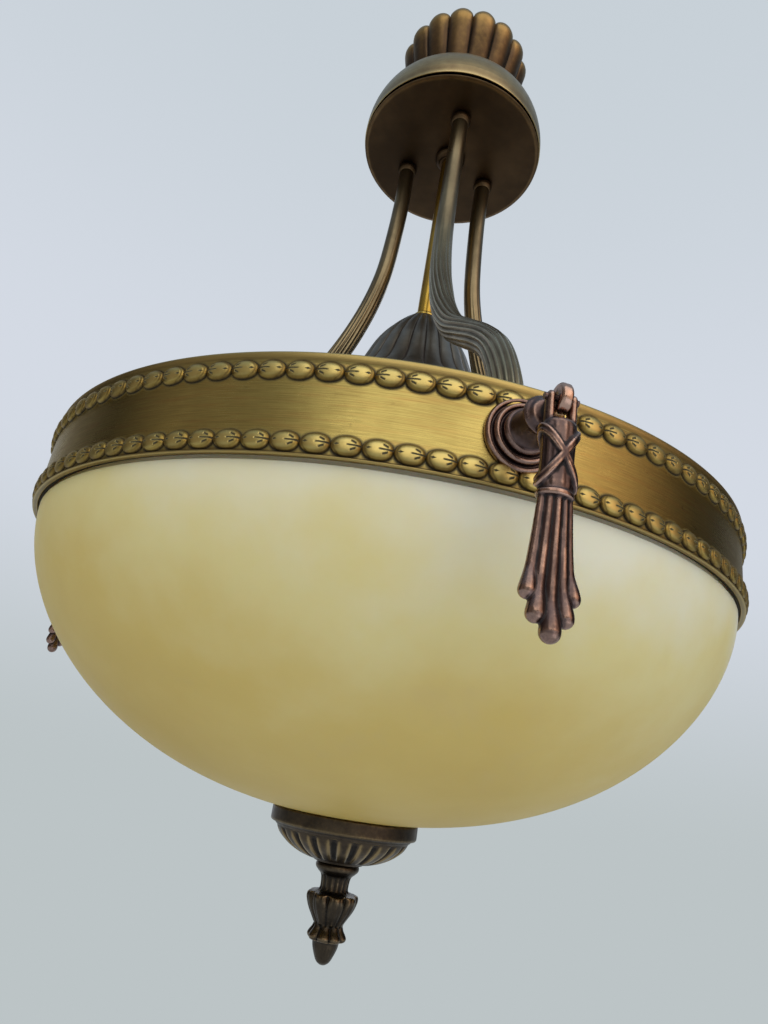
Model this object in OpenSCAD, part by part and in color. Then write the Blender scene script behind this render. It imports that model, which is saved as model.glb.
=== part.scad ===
// Semi-flush ceiling light: glass bowl in a brass band, carried by three S-shaped arms
// Millimetres, +Z up. The origin is at the ceiling, on the lamp's axis; the front boss faces -Y.

/* [Overall] */
// Distance from the ceiling down to the band's lower edge
drop = 483; // [450:1:540]
// Turn of the arms' upper ends against the bosses, in degrees
arm_turn = -6.9; // [-12:0.1:0]

/* [Band] */
// Outer radius of the band's flat zone
band_r = 203.4; // [190:0.2:220]
// Height of the band
band_h = 43.9; // [40:0.1:50]
// Thickness of the band's sheet
band_t = 1.2; // [0.8:0.1:2]
// Width of the band's lower return
lip_w = 3.4; // [2.2:0.1:8]
// Height of each bead moulding
bead_h = 8.6; // [6:0.1:9.2]
// How far the beads stand out of the band
bead_out = 3; // [2:0.1:4]
// Distance from the band's top edge down to the upper moulding
bead_drop = 4.2; // [3:0.1:6]
// Height of the small lip under the lower moulding
lip_h = 1.2; // [0.8:0.1:2]

/* [Bowl] */
// Depth of the glass bowl below the band
bowl_depth = 128; // [110:1:150]
// Thickness of the glass
glass_t = 4; // [3:0.5:5]
// Height of the glass neck inside the band
neck_h = 10; // [6:0.5:12]
// Exponent of the bowl's profile along its depth
bowl_p = 1.763; // [1.6:0.01:2.2]
// Exponent of the bowl's profile across
bowl_q = 2.19; // [2:0.01:2.5]

/* [Canopy] */
// Radius of the canopy cup
cup_r = 72; // [66:0.5:80]
// Distance from the ceiling down to the canopy disc's face
disc_z = 108; // [100:1:125]
// Height of the cup's straight wall
cup_wall_h = 4.8; // [3:0.1:8]
// Height of the cup's domed top
cup_dome_h = 38; // [30:0.5:42]
// Radius of the cup's flat top
cup_top_r = 45; // [44.5:0.5:50]
// Thickness of the cup's sheet
cup_t = 1.2; // [0.8:0.1:2]
// Radius of the bell's lobes at the ceiling
bell_r = 53.6; // [50:0.2:60]
// Radius of the bell where it stands on the cup
bell_neck_r = 41; // [37:0.5:44]
// Number of lobes round the bell
lobes = 16; // [12:2:20]
// Depth of the grooves between the lobes
lobe_depth = 3.4; // [2:0.1:4]
// Thickness of the bell's wall
bell_t = 2.4; // [2:0.1:3]
// Thickness of the disc's rim
disc_t = 2.4; // [2:0.1:4]

/* [Arms] */
// Radius of the circle on which the arms meet the disc
arm_top_r = 37.8; // [34:0.2:42]
// Diameter of an arm at its top
arm_top_d = 12.4; // [11:0.1:14]
// Diameter of an arm at its bend
arm_bend_d = 14.2; // [12:0.1:16]
// Height of the arm's foot and of the boss above the band's lower edge
boss_z = 22; // [20:0.5:24]
// Distance from the band's face in to where an arm meets its foot
foot_reach = 15.4; // [13.4:0.1:23.4]
// Radius of the arm studs through the disc
arm_stud_r = 4; // [3:0.1:4.5]
// Radius of the arm collars
arm_collar_r = 8; // [7:0.1:9]

/* [Centre] */
// Radius of the threaded rod
rod_r = 4.95; // [4.5:0.05:5.5]
// Radius of the rod's wire way
rod_bore_r = 3.5; // [2.5:0.1:4]
// Outer radius of the centre tube
tube_r = 6.2; // [6:0.1:8]
// Height of the dome's top above the band's lower edge
dome_top_z = 213; // [205:1:230]
// Height of the lamp plate's top above the band's lower edge
plate_z = 130; // [126:1:140]
// Radius of the lamp plate
plate_r = 66; // [63:0.5:72]
// Number of flutes round the dome
flutes = 24; // [16:2:32]

/* [Lampholders] */
// Radius of the circle on which the lampholders hang
holder_place_r = 40; // [37:0.5:43]
// Radius of a lampholder's body
holder_r = 19.5; // [18:0.1:20.5]
// Height of a lampholder's body
holder_h = 46; // [44:1:55]
// Inner radius of the screw shell
shell_r = 13.35; // [13:0.05:13.6]
// Length of the screw shell
shell_h = 22; // [18:0.5:26]

/* [Bosses and tassels] */
// Radius of a boss at the band
boss_r = 15; // [13:0.1:15.4]
// How far the pin's axis stands out of the band
pin_out = 30; // [28:0.5:34]
// Thickness of a boss's lug
lug_t = 4.2; // [3.5:0.1:5]
// Radius of the lug's round head
lug_r = 5.6; // [5:0.1:6]
// Radius of the tassel pins
pin_r = 1.2; // [1:0.05:1.5]
// Distance from the pin down to the tassel's tip
tassel_len = 81; // [75:0.5:90]
// Thickness of each cheek of the fork
fork_t = 3.1; // [2.6:0.1:3.6]
// Width of the tassel's barrel
barrel_w = 11.6; // [10.5:0.1:13]
// Width of the tassel's skirt over its outer lobes
skirt_w = 20.4; // [17:0.1:24]

/* [Finial] */
// Radius of the finial plate
fplate_r = 41.4; // [38:0.1:46]
// Height of the finial plate below the gasket
fplate_h = 21; // [18:0.5:26]
// Height of the finial plate's upright rim
fplate_rim_h = 7.8; // [6:0.1:9]
// Height of the finial below its plate
finial_h = 49.5; // [46:0.5:60]
// Widest radius of the finial's leaf cup
finial_r = 14.4; // [13:0.1:17]
// Length of rod inside the finial
rod_grip = 16; // [12:0.5:20]

/* [Hardware] */
// Length of the ceiling bar
bar_l = 84; // [80:1:88]
// Width of the ceiling bar
bar_w = 18; // [16:0.5:20]
// Thickness of the ceiling bar
bar_t = 2.5; // [2:0.1:3]
// Distance between the bar's two slots
slot_gap = 60; // [58:0.5:62]
// End-to-end length of a slot
slot_l = 10; // [8:0.5:12]
// Width of a slot
slot_w = 5; // [4:0.1:6]
// Length of the terminal block
terminal_l = 26; // [22:0.5:30]
// Height of the terminal block
terminal_h = 11; // [9:0.5:14]
// Radius of the rubber gasket under the bowl
gasket_r = 24; // [20:0.5:30]
// Radius of the rod nuts over their corners
nut_r = 8.5; // [7.5:0.1:9]
// Height of the rod nuts
nut_h = 4; // [3:0.1:5]

/* [Fits] */
// Clearance round a running pin
run_fit = 0.06; // [0.02:0.01:0.1]
// Clearance round a pin that is held fast
snug_fit = 0.02; // [0.01:0.01:0.04]
// Clearance round a rod or stud in a plain hole
hole_fit = 0.3; // [0.2:0.05:0.5]
// Gap between curved faces that lie on each other
seat_gap = 0.1; // [0.05:0.01:0.3]
// Gap between the glass and the metal that it meets
glass_gap = 0.3; // [0.2:0.05:0.5]

/* [Hidden] */
$fn = 72;
// Azimuths of the three bosses
boss_az = [-90, 150, 30];
band_z = -drop;
top_fillet = 0.8;
return_h = 2.4;
lip_r = band_r - lip_w;
foot_r = band_r - foot_reach;
bowl_r = lip_r + 0.8;
// Height of the glass's underside at the finial plate's rim, above the bowl's lowest point
rim_rise = bowl_depth*(1 - pow(1 - pow(fplate_r/bowl_r, bowl_q), 1/bowl_p));
neck_r = lip_r - 1.4;
disc_top_z = -disc_z + disc_t + 3;
cup_rim_z = -disc_z + disc_t + 0.8;
cup_side_z = cup_rim_z + cup_wall_h;
cup_top_z = cup_side_z + cup_dome_h;
bell_floor_t = 2;
washer_t = 1.5;
collar_h = 8;
tube_top_z = -disc_z - collar_h;
dome_z = band_z + dome_top_z;
cap_h = 4;
lamp_z = band_z + plate_z;
lamp_t = 2;
holder_z = lamp_z - lamp_t;
foot_d = 13.6;
stud_r = 2.5;
boss_back = band_r + seat_gap;
boss_cut_r = boss_r + 0.3;
pin_x = band_r + pin_out;
pin_z = band_z + boss_z;
fork_gap = lug_t + 0.6;
fork_w = fork_gap + 2*fork_t;
shoulder_z = -9;
barrel_z = -33;
skirt_z = -36;
bowl_floor_z = band_z - bowl_depth;
bowl_flat_r = nut_r + 5;
gasket_t = 1.5;
fplate_z = bowl_floor_z - gasket_t;
finial_z = fplate_z - fplate_h;
rod_top_z = -0.3;
rod_end_z = finial_z - rod_grip;
nipple_r = 5;
nipple_up = 4.5;
shell_low = 3;
contact_gap = 0.5;
contact_t = 2.5;
holder_bore_h = shell_low + shell_h + contact_gap + contact_t + 1;
nipple_h = 8;
hole_r = rod_r + hole_fit;

// Points on a quarter ellipse, from the rim at radius r0 up to the flat top at radius r1
function dome_pts(r0, r1, z0, h, n) = [for (i = [0:n]) [r1 + (r0 - r1)*cos(90*i/n), z0 + h*sin(90*i/n)]];
// Outer radius of the glass at depth d below the band
function bowl_radius(d) = bowl_r*pow(max(0, 1 - pow(d/bowl_depth, bowl_p)), 1/bowl_q);
// Smooth step between 0 and 1
function smooth(k) = let (c = min(1, max(0, k))) c*c*(3 - 2*c);
// Point at parameter u on a Catmull-Rom curve through the points p
function rom(p, u) = let (n = len(p) - 1, i = min(n - 1, floor(u)), t = u - i, a = p[max(0, i - 1)], b = p[i],
    c = p[i + 1], d = p[min(n, i + 2)])
    0.5*(2*b + (c - a)*t + (2*a - 5*b + 4*c - d)*t*t + (3*b - a - 3*c + d)*t*t*t);
function unit(v) = v/norm(v);
// Point on a circle of radius r at azimuth a and height z
function polar(r, a, z) = [r*cos(a), r*sin(a), z];

// A closed solid through rings of equally many points, capped at both ends, or joined end to end
module loft(rings, closed = false) {
    m = len(rings);
    n = len(rings[0]);
    last = closed ? m - 1 : m - 2;
    pts = [for (r = rings) each r];
    sides = [for (i = [0:last], j = [0:n - 1], s = [0, 1])
        let (a = i*n + j, b = i*n + (j + 1)%n, c = ((i + 1)%m)*n + (j + 1)%n, d = ((i + 1)%m)*n + j)
        s == 0 ? [a, c, b] : [a, d, c]];
    caps = closed ? [] : [[for (j = [0:n - 1]) j], [for (j = [n - 1:-1:0]) (m - 1)*n + j]];
    polyhedron(points = pts, faces = concat(sides, caps), convexity = 6);
}

// Turns a piece drawn with its outward axis on +X to azimuth a
module at_az(a) {
    rotate([0, 0, a])
        children();
}

// A plain round hole through the band at azimuth a
module radial_hole(a, r, from, to) {
    at_az(a)
        translate([from, 0, pin_z])
            rotate([0, 90, 0])
                cylinder(r = r, h = to - from);
}

module ceiling_bar() color("silver")
    difference() {
        translate([-bar_l/2, -bar_w/2, -bar_t])
            cube([bar_l, bar_w, bar_t]);
        translate([0, 0, -bar_t - 1])
            cylinder(r = rod_r + run_fit, h = bar_t + 2);
        for (s = [-1, 1])
            translate([s*slot_gap/2, 0, -bar_t - 1]) {
                for (e = [-1, 1])
                    translate([e*(slot_l - slot_w)/2, 0, 0])
                        cylinder(d = slot_w, h = bar_t + 2);
                translate([-(slot_l - slot_w)/2, -slot_w/2, 0])
                    cube([slot_l - slot_w, slot_w, bar_t + 2]);
            }
        translate([16, 0, -bar_t - 1])
            cylinder(r = 2 + run_fit, h = bar_t + 2);
    }

module earth_screw() color("gold")
    translate([16, 0, -bar_t])
        union() {
            translate([0, 0, -3])
                cylinder(r = 3.6, h = 3);
            translate([0, 0, -1])
                cylinder(r = 2, h = bar_t + 0.5);
        }

module terminal_block() color("ivory")
    difference() {
        translate([-23, -terminal_l/2, -bar_t - terminal_h])
            cube([11, terminal_l, terminal_h]);
        for (y = [-8, 0, 8]) {
            translate([-24, y, -bar_t - terminal_h/2])
                rotate([0, 90, 0])
                    cylinder(d = 4, h = 13);
            translate([-17.5, y, -bar_t - terminal_h - 1])
                cylinder(d = 3.4, h = 4);
        }
    }

module threaded_rod() color("gold")
    difference() {
        translate([0, 0, rod_end_z])
            cylinder(r = rod_r, h = rod_top_z - rod_end_z);
        translate([0, 0, rod_end_z - 1])
            cylinder(r = rod_bore_r, h = rod_top_z - rod_end_z + 2);
    }

module rod_nut(z) {
    translate([0, 0, z])
        difference() {
            cylinder(r = nut_r, h = nut_h, $fn = 6);
            translate([0, 0, -1])
                cylinder(r = rod_r + run_fit, h = nut_h + 2, $fn = 72);
        }
}

module rod_nuts() color("gold") {
    rod_nut(-bar_t - nut_h);
    rod_nut(cup_top_z + bell_floor_t + washer_t);
    rod_nut(cup_top_z - cup_t - nut_h);
    rod_nut(disc_top_z);
    rod_nut(dome_z - 2 - nut_h);
    rod_nut(lamp_z);
    rod_nut(holder_z - nut_h);
    rod_nut(bowl_floor_z + glass_t + washer_t);
}

// Radius of the bell's outline at share k of its height, from the cup up to the ceiling
function bell_outline(k) = bell_neck_r + (bell_r - bell_neck_r)*(0.75*k + 0.25*sin(90*k)*sin(90*k));
// Radius of a lobed ring at angle a, with grooves of depth d
function lobed(r, a, n, d) = r - d*(1 - sqrt(abs(cos(n*a/2))));
function bell_ring(k, inset, d) = let (h = -cup_top_z, z = cup_top_z + h*k)
    [for (i = [0:6*lobes - 1]) let (a = 360*i/(6*lobes)) polar(lobed(bell_outline(k) - inset, a, lobes, d), a, z)];
function round_ring(r, z, n) = [for (i = [0:n - 1]) polar(r, 360*i/n, z)];

module ceiling_bell() color("peru")
    let (n = 6*lobes, f = bell_floor_t/(-cup_top_z))
    loft(concat(
        [for (k = [0, 0.12, 0.26, 0.42, 0.58, 0.74, 0.86, 0.93]) bell_ring(k, 0, lobe_depth*(0.35 + 0.65*k))],
        [bell_ring(0.975, 0.7, lobe_depth), bell_ring(1, 2.2, lobe_depth*0.9)],
        [for (k = [1, 0.8, 0.5, 0.25, f]) round_ring(bell_outline(k) - bell_t - lobe_depth*(0.35 + 0.65*k),
            cup_top_z*(1 - k), n)],
        [round_ring(13, cup_top_z + bell_floor_t, n)],
        [round_ring(13, cup_top_z, n)]), closed = true);

module bell_washer() color("gold")
    translate([0, 0, cup_top_z + bell_floor_t])
        difference() {
            cylinder(r = 19, h = washer_t);
            translate([0, 0, -1])
                cylinder(r = hole_r, h = washer_t + 2);
        }

module canopy_cup() color("tan")
    rotate_extrude()
        polygon(concat(
            [[cup_r - cup_t, cup_rim_z], [cup_r, cup_rim_z]],
            dome_pts(cup_r, cup_top_r, cup_side_z, cup_dome_h, 12),
            [[hole_r, cup_top_z], [hole_r, cup_top_z - cup_t]],
            [for (i = [12:-1:0]) dome_pts(cup_r - cup_t, cup_top_r, cup_side_z, cup_dome_h - cup_t, 12)[i]]));

module canopy_disc() color("saddlebrown")
    difference() {
        rotate_extrude()
            polygon([[0, -disc_z], [cup_r - 2.6, -disc_z], [cup_r - 1.2, -disc_z + 0.5], [cup_r - 0.6, -disc_z + 1.2],
                [cup_r - 0.6, -disc_z + disc_t], [cup_r - cup_t - 1, -disc_z + disc_t],
                [cup_r - cup_t - 1, disc_top_z], [0, disc_top_z]]);
        translate([0, 0, -disc_z - 1])
            cylinder(r = hole_r, h = disc_t + 5);
        for (a = boss_az)
            translate(polar(arm_top_r, a + arm_turn, -disc_z - 1))
                cylinder(r = arm_stud_r + hole_fit, h = disc_t + 5);
    }

module center_collar() color("saddlebrown")
    translate([0, 0, -disc_z])
        rotate_extrude()
            polygon([[hole_r, 0], [tube_r + 5, 0], [tube_r + 5.8, -1.2], [tube_r + 5.8, -3], [tube_r + 4.6, -4.8],
                [tube_r + 2.6, -6], [tube_r + 2, -collar_h], [hole_r, -collar_h]]);

module arm_collars() color("saddlebrown")
    for (a = boss_az)
        translate(polar(arm_top_r, a + arm_turn, -disc_z))
            rotate_extrude()
                polygon([[arm_stud_r + hole_fit, 0], [arm_collar_r - 1.6, 0], [arm_collar_r - 0.3, -1.5], [arm_collar_r, -3.2],
                    [arm_collar_r - 0.5, -5], [arm_collar_r - 2, -7], [arm_stud_r + hole_fit, -7]]);

module arm_nuts() color("gold")
    for (a = boss_az)
        translate(polar(arm_top_r, a + arm_turn, disc_top_z + 1))
            difference() {
                cylinder(r = 7, h = 5, $fn = 6);
                translate([0, 0, -1])
                    cylinder(r = arm_stud_r + run_fit, h = 7, $fn = 72);
            }

module arm_washers() color("silver")
    for (a = boss_az)
        translate(polar(arm_top_r, a + arm_turn, disc_top_z))
            difference() {
                cylinder(r = 8, h = 1);
                translate([0, 0, -1])
                    cylinder(r = arm_stud_r + hole_fit, h = 3);
            }

// Shape of an arm: share of the way from the disc's circle out to the foot, and of the height above the foot
arm_shape = [[0, 1], [-0.003, 0.9], [0.008, 0.784], [0.028, 0.693], [0.071, 0.614], [0.134, 0.54], [0.208, 0.474],
    [0.301, 0.404], [0.427, 0.338], [0.574, 0.293], [0.72, 0.25], [0.853, 0.202], [0.947, 0.132], [0.993, 0.062], [1, 0]];
arm_steps = 42;
arm_sides = 16;
arm_top_z = -disc_z - 7;

// Centre of an arm at share k of its length, for the boss at azimuth a
function arm_at(k, a) = let (q = rom(arm_shape, k*(len(arm_shape) - 1)),
    r = arm_top_r + (foot_r - arm_top_r)*q[0], z = pin_z + (arm_top_z - pin_z)*q[1],
    turn = arm_turn*(1 - smooth(q[0]/0.75)))
    polar(r, a + turn, z);
function arm_radius(k) = k < 0.6 ? arm_top_d/2 + (arm_bend_d - arm_top_d)/2*smooth(k/0.6)
    : arm_bend_d/2 + (foot_d - 0.8 - arm_bend_d)/2*smooth((k - 0.6)/0.4);
function arm_ring(i, a) = let (k = i/arm_steps, p = arm_at(k, a),
    t = i == 0 || i == arm_steps ? [0, 0, -1] : unit(arm_at(k + 0.002, a) - arm_at(k - 0.002, a)),
    s = unit(cross(t, polar(1, a + 0.001, 0))), u = cross(s, t), r = arm_radius(k))
    [for (j = [0:arm_sides - 1]) p + r*(u*cos(360*j/arm_sides) + s*sin(360*j/arm_sides))];

module arm(a) {
    difference() {
        union() {
            loft([for (i = [0:arm_steps]) arm_ring(i, a)]);
            translate(polar(arm_top_r, a + arm_turn, arm_top_z - 3))
                cylinder(r = arm_stud_r, h = disc_top_z + 8 - arm_top_z + 3);
            at_az(a)
                translate([foot_r - foot_d/2, 0, pin_z])
                    rotate([0, 90, 0])
                        cylinder(d = foot_d, h = band_r - band_t - seat_gap - foot_r + foot_d/2);
        }
        radial_hole(a, stud_r + run_fit, foot_r - 2, band_r);
    }
}

module arm_1() color("darkkhaki") arm(boss_az[0]);
module arm_2() color("darkkhaki") arm(boss_az[1]);
module arm_3() color("darkkhaki") arm(boss_az[2]);

module center_tube() color("gold")
    translate([0, 0, dome_z + cap_h])
        difference() {
            cylinder(r = tube_r, h = tube_top_z - dome_z - cap_h);
            translate([0, 0, -1])
                cylinder(r = hole_r, h = tube_top_z - dome_z - cap_h + 2);
        }

module dome_cap() color("gold")
    translate([0, 0, dome_z])
        difference() {
            cylinder(r = tube_r + 3, h = cap_h);
            translate([0, 0, -1])
                cylinder(r = hole_r, h = cap_h + 2);
        }

// The dome's outline from its rim up: share of the rim's radius, and of the height
dome_shape = [[1, 0], [0.9, 0.1], [0.75, 0.22], [0.66, 0.34], [0.6, 0.46], [0.53, 0.6], [0.44, 0.73], [0.34, 0.84], [0.22, 0.95], [0.14, 1]];
function dome_ring(q, inset, d) = let (h = dome_z - lamp_z, n = 4*flutes)
    [for (i = [0:n - 1]) let (a = 360*i/n) polar(lobed(q[0]*plate_r - inset, a, flutes, d*min(1, 2.2*q[0] - 0.3)), a, lamp_z + h*q[1])];

module socket_dome() color("slategray")
    let (n = 4*flutes, m = len(dome_shape))
    loft(concat(
        [for (q = dome_shape) dome_ring(q, 0, 1.4)],
        [round_ring(hole_r + 0.3, dome_z, n)],
        [round_ring(hole_r + 0.3, dome_z - 2, n)],
        [round_ring(nut_r + 1.5, dome_z - 2, n)],
        [for (j = [m - 2:-1:1]) round_ring(dome_shape[j][0]*plate_r - 3.6, lamp_z + (dome_z - lamp_z)*dome_shape[j][1] - 1.4, n)],
        [round_ring(plate_r - 4.4, lamp_z, n)]), closed = true);

module lamp_plate() color("gold")
    difference() {
        translate([0, 0, lamp_z - lamp_t])
            cylinder(r = plate_r, h = lamp_t);
        translate([0, 0, lamp_z - lamp_t - 1])
            cylinder(r = hole_r, h = lamp_t + 2);
        for (a = boss_az)
            translate(polar(holder_place_r, a, lamp_z - lamp_t - 1))
                cylinder(r = nipple_r + hole_fit, h = lamp_t + 2);
    }

module lampholder(a) {
    translate(polar(holder_place_r, a, holder_z - holder_h))
        difference() {
            rotate_extrude()
                polygon([[0, 0], [holder_r - 1.5, 0], [holder_r, 1.5], [holder_r, holder_h - 14], [holder_r - 4, holder_h - 10],
                    [holder_r - 4, holder_h - 1], [holder_r - 5, holder_h], [0, holder_h]]);
            translate([0, 0, -1])
                cylinder(r = shell_r + 1, h = holder_bore_h + 1);
            translate([0, 0, holder_bore_h - 1])
                cylinder(r = 3.2, h = holder_h);
            translate([0, 0, holder_h - nipple_h])
                cylinder(r = nipple_r + run_fit, h = nipple_h + 1);
        }
}

module lampholder_1() color("ivory") lampholder(boss_az[0]);
module lampholder_2() color("ivory") lampholder(boss_az[1]);
module lampholder_3() color("ivory") lampholder(boss_az[2]);

module screw_shell(a) {
    translate(polar(holder_place_r, a, holder_z - holder_h + shell_low))
        difference() {
            cylinder(r = shell_r + 1 - run_fit, h = shell_h);
            translate([0, 0, -1])
                cylinder(r = shell_r, h = shell_h + 2);
        }
}

module screw_shell_1() color("gold") screw_shell(boss_az[0]);
module screw_shell_2() color("gold") screw_shell(boss_az[1]);
module screw_shell_3() color("gold") screw_shell(boss_az[2]);

module center_contacts() color("gold")
    for (a = boss_az)
        translate(polar(holder_place_r, a, holder_z - holder_h + shell_low + shell_h + contact_gap))
            union() {
                cylinder(r = 4.6, h = contact_t);
                translate([0, 0, contact_t - 0.5])
                    cylinder(r = 3.2 - run_fit, h = 5);
            }

module holder_nipples() color("gold")
    for (a = boss_az)
        translate(polar(holder_place_r, a, holder_z - nipple_h))
            difference() {
                cylinder(r = nipple_r, h = nipple_h + lamp_t + nipple_up);
                translate([0, 0, -1])
                    cylinder(r = nipple_r - 1.5, h = nipple_h + lamp_t + nipple_up + 2);
            }

module nipple_nuts() color("gold")
    for (a = boss_az)
        translate(polar(holder_place_r, a, lamp_z))
            difference() {
                cylinder(r = nipple_r + 3.2, h = 3, $fn = 6);
                translate([0, 0, -1])
                    cylinder(r = nipple_r + run_fit, h = 5, $fn = 72);
            }

module ring_band() color("goldenrod")
    difference() {
        translate([0, 0, band_z])
            rotate_extrude($fn = 180)
                polygon([[lip_r, 0], [band_r + 1.2, 0], [band_r + 1.5, lip_h/2], [band_r + 1.2, lip_h], [band_r, lip_h],
                    [band_r, band_h - 3], [band_r + top_fillet, band_h - 2.4], [band_r + top_fillet, band_h - 0.5],
                    [band_r + top_fillet - 0.5, band_h], [band_r - band_t, band_h], [band_r - band_t, return_h], [lip_r, return_h]]);
        for (a = boss_az)
            radial_hole(a, stud_r + hole_fit, band_r - band_t - 2, band_r + 3);
    }

// A half-round moulding round the band with its centre at height zc, cut away behind the bosses
module bead_row(zc) {
    difference() {
        translate([0, 0, band_z + zc])
            rotate_extrude($fn = 180)
                polygon([[band_r + seat_gap, -bead_h/2], [band_r + bead_out*0.35, -bead_h/2], [band_r + bead_out*0.75, -bead_h*0.36],
                    [band_r + bead_out, -bead_h*0.14], [band_r + bead_out, bead_h*0.14], [band_r + bead_out*0.75, bead_h*0.36],
                    [band_r + bead_out*0.35, bead_h/2], [band_r + seat_gap, bead_h/2]]);
        for (a = boss_az)
            radial_hole(a, boss_cut_r, band_r - 3, band_r + bead_out + 3);
    }
}

module bead_row_upper() color("khaki") bead_row(band_h - bead_drop - bead_h/2);
module bead_row_lower() color("khaki") bead_row(lip_h + bead_h/2);

// Turned boss with its lug, drawn on +X with its back at radius boss_back
module boss(a) {
    e = pin_out - seat_gap;
    at_az(a)
        translate([boss_back, 0, pin_z])
            difference() {
                union() {
                    rotate([0, 90, 0])
                        rotate_extrude()
                            polygon([[0, 0], [boss_r, 0], [boss_r, 2], [boss_r - 0.8, 3], [boss_r - 2.4, 3.2], [boss_r - 2.9, 2.6],
                                [boss_r - 3.4, 2.6], [boss_r - 3.6, 4.8], [boss_r - 4.4, 5.9], [boss_r - 5.6, 6.2], [boss_r - 7, 8],
                                [boss_r - 8.2, 11], [boss_r - 8.5, 14], [boss_r - 8.1, 16.4], [boss_r - 7.3, 17.4],
                                [boss_r - 7.3, 18.6], [boss_r - 8.2, 19.6], [boss_r - 10, 20.6], [0, 20.6]]);
                    translate([18, -lug_t/2, -4.4])
                        cube([e - 18, lug_t, 8.8]);
                    translate([e, lug_t/2, 0])
                        rotate([90, 0, 0])
                            cylinder(r = lug_r, h = lug_t);
                }
                translate([e, lug_t, 0])
                    rotate([90, 0, 0])
                        cylinder(r = pin_r + run_fit, h = 2*lug_t);
                translate([-1, 0, 0])
                    rotate([0, 90, 0])
                        cylinder(r = stud_r + run_fit, h = 12);
            }
}

module boss_1() color("sienna") boss(boss_az[0]);
module boss_2() color("sienna") boss(boss_az[1]);
module boss_3() color("sienna") boss(boss_az[2]);

module boss_studs() color("silver")
    for (a = boss_az)
        radial_hole(a, stud_r, foot_r - 1.5, boss_back + 10);

module tassel_pin(a) {
    at_az(a)
        translate([pin_x, fork_w/2 + 0.6, pin_z])
            rotate([90, 0, 0])
                cylinder(r = pin_r, h = fork_w + 1.2);
}

module tassel_pin_1() color("silver") tassel_pin(boss_az[0]);
module tassel_pin_2() color("silver") tassel_pin(boss_az[1]);
module tassel_pin_3() color("silver") tassel_pin(boss_az[2]);

// Outline of the tassel's skirt at half width w and half depth d: flutes in front, flat behind
function skirt_ring(w, d, z, c) = [for (j = [0:29]) let (a = -360*j/30, f = cos(a) > -0.2 ? 1 - c*(1 - abs(cos(4*a))) : 1)
    [d*f*(cos(a) > 0 ? cos(a) : 0.45*cos(a)), w*f*sin(a), z]];
// The skirt from its top down: share of its length, of its half width, and depth of its flutes
skirt_shape = [[0, 0.46, 0.1], [0.2, 0.48, 0.12], [0.4, 0.55, 0.13], [0.56, 0.66, 0.14], [0.66, 0.8, 0.16], [0.74, 0.98, 0.2],
    [0.84, 0.93, 0.24], [0.94, 0.66, 0.24], [1, 0.3, 0.2]];

module tassel(a) {
    at_az(a)
        translate([pin_x, 0, pin_z])
            difference() {
                union() {
                    for (s = [-1, 1]) {
                        translate([-2.2, s*(fork_gap + fork_t)/2 - fork_t/2, shoulder_z - 1])
                            cube([4.4, fork_t, 1 - shoulder_z]);
                        translate([0, s*(fork_gap + fork_t)/2 + fork_t/2, 0])
                            rotate([90, 0, 0])
                                cylinder(r = 2.5, h = fork_t);
                    }
                    translate([-3.4, -fork_w/2, shoulder_z - 2])
                        cube([6.8, fork_w, 2]);
                    translate([0, 0, barrel_z])
                        linear_extrude(shoulder_z - barrel_z - 1)
                            polygon([for (j = [0:23]) let (t = 15*j) [4.6*cos(t), barrel_w/2*sin(t)]]);
                    translate([0, 0, skirt_z])
                        linear_extrude(barrel_z - skirt_z)
                            polygon([for (j = [0:23]) let (t = 15*j) [5*cos(t), (barrel_w/2 + 0.3)*sin(t)]]);
                    loft([for (q = skirt_shape)
                        skirt_ring(skirt_w/2*q[1], 2.4 + 4*q[1], skirt_z + 1.5 - (tassel_len + skirt_z + 1.5)*q[0], q[2])]);
                }
                translate([0, fork_w, 0])
                    rotate([90, 0, 0])
                        cylinder(r = pin_r + snug_fit, h = 2*fork_w);
            }
}

module tassel_1() color("rosybrown") tassel(boss_az[0]);
module tassel_2() color("rosybrown") tassel(boss_az[1]);
module tassel_3() color("rosybrown") tassel(boss_az[2]);

// Depths below the band at which the bowl's profile has a corner
bowl_steps = 26;
function bowl_depth_at(i, h) = h*sin(90*pow(i/bowl_steps, 0.85));
bowl_end = bowl_steps - 2;

module glass_bowl() color("wheat", 0.8)
    translate([0, 0, band_z])
        rotate_extrude($fn = 180)
            polygon(concat(
                [[neck_r - glass_t, neck_h], [neck_r - 1, neck_h], [neck_r, neck_h - 1], [neck_r, -glass_gap], [bowl_r - 0.7, -glass_gap]],
                [for (i = [1:bowl_end]) let (d = bowl_depth_at(i, bowl_depth)) [bowl_radius(d), -d]],
                [[bowl_flat_r, -bowl_depth], [hole_r + 0.5, -bowl_depth], [hole_r + 0.5, glass_t - bowl_depth],
                    [bowl_flat_r, glass_t - bowl_depth]],
                [for (i = [bowl_end:-1:2]) let (d = bowl_depth_at(i, bowl_depth))
                    [bowl_radius(d)*(bowl_r - glass_t)/bowl_r, -d*(bowl_depth - glass_t)/bowl_depth]],
                [[neck_r - glass_t, -6]]));

module bowl_washer() color("dimgray")
    translate([0, 0, bowl_floor_z + glass_t])
        difference() {
            cylinder(r = bowl_flat_r - 0.5, h = washer_t);
            translate([0, 0, -1])
                cylinder(r = hole_r, h = washer_t + 2);
        }

module bowl_gasket() color("dimgray")
    translate([0, 0, bowl_floor_z - gasket_t])
        difference() {
            cylinder(r = gasket_r, h = gasket_t);
            translate([0, 0, -1])
                cylinder(r = hole_r, h = gasket_t + 2);
        }

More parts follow.
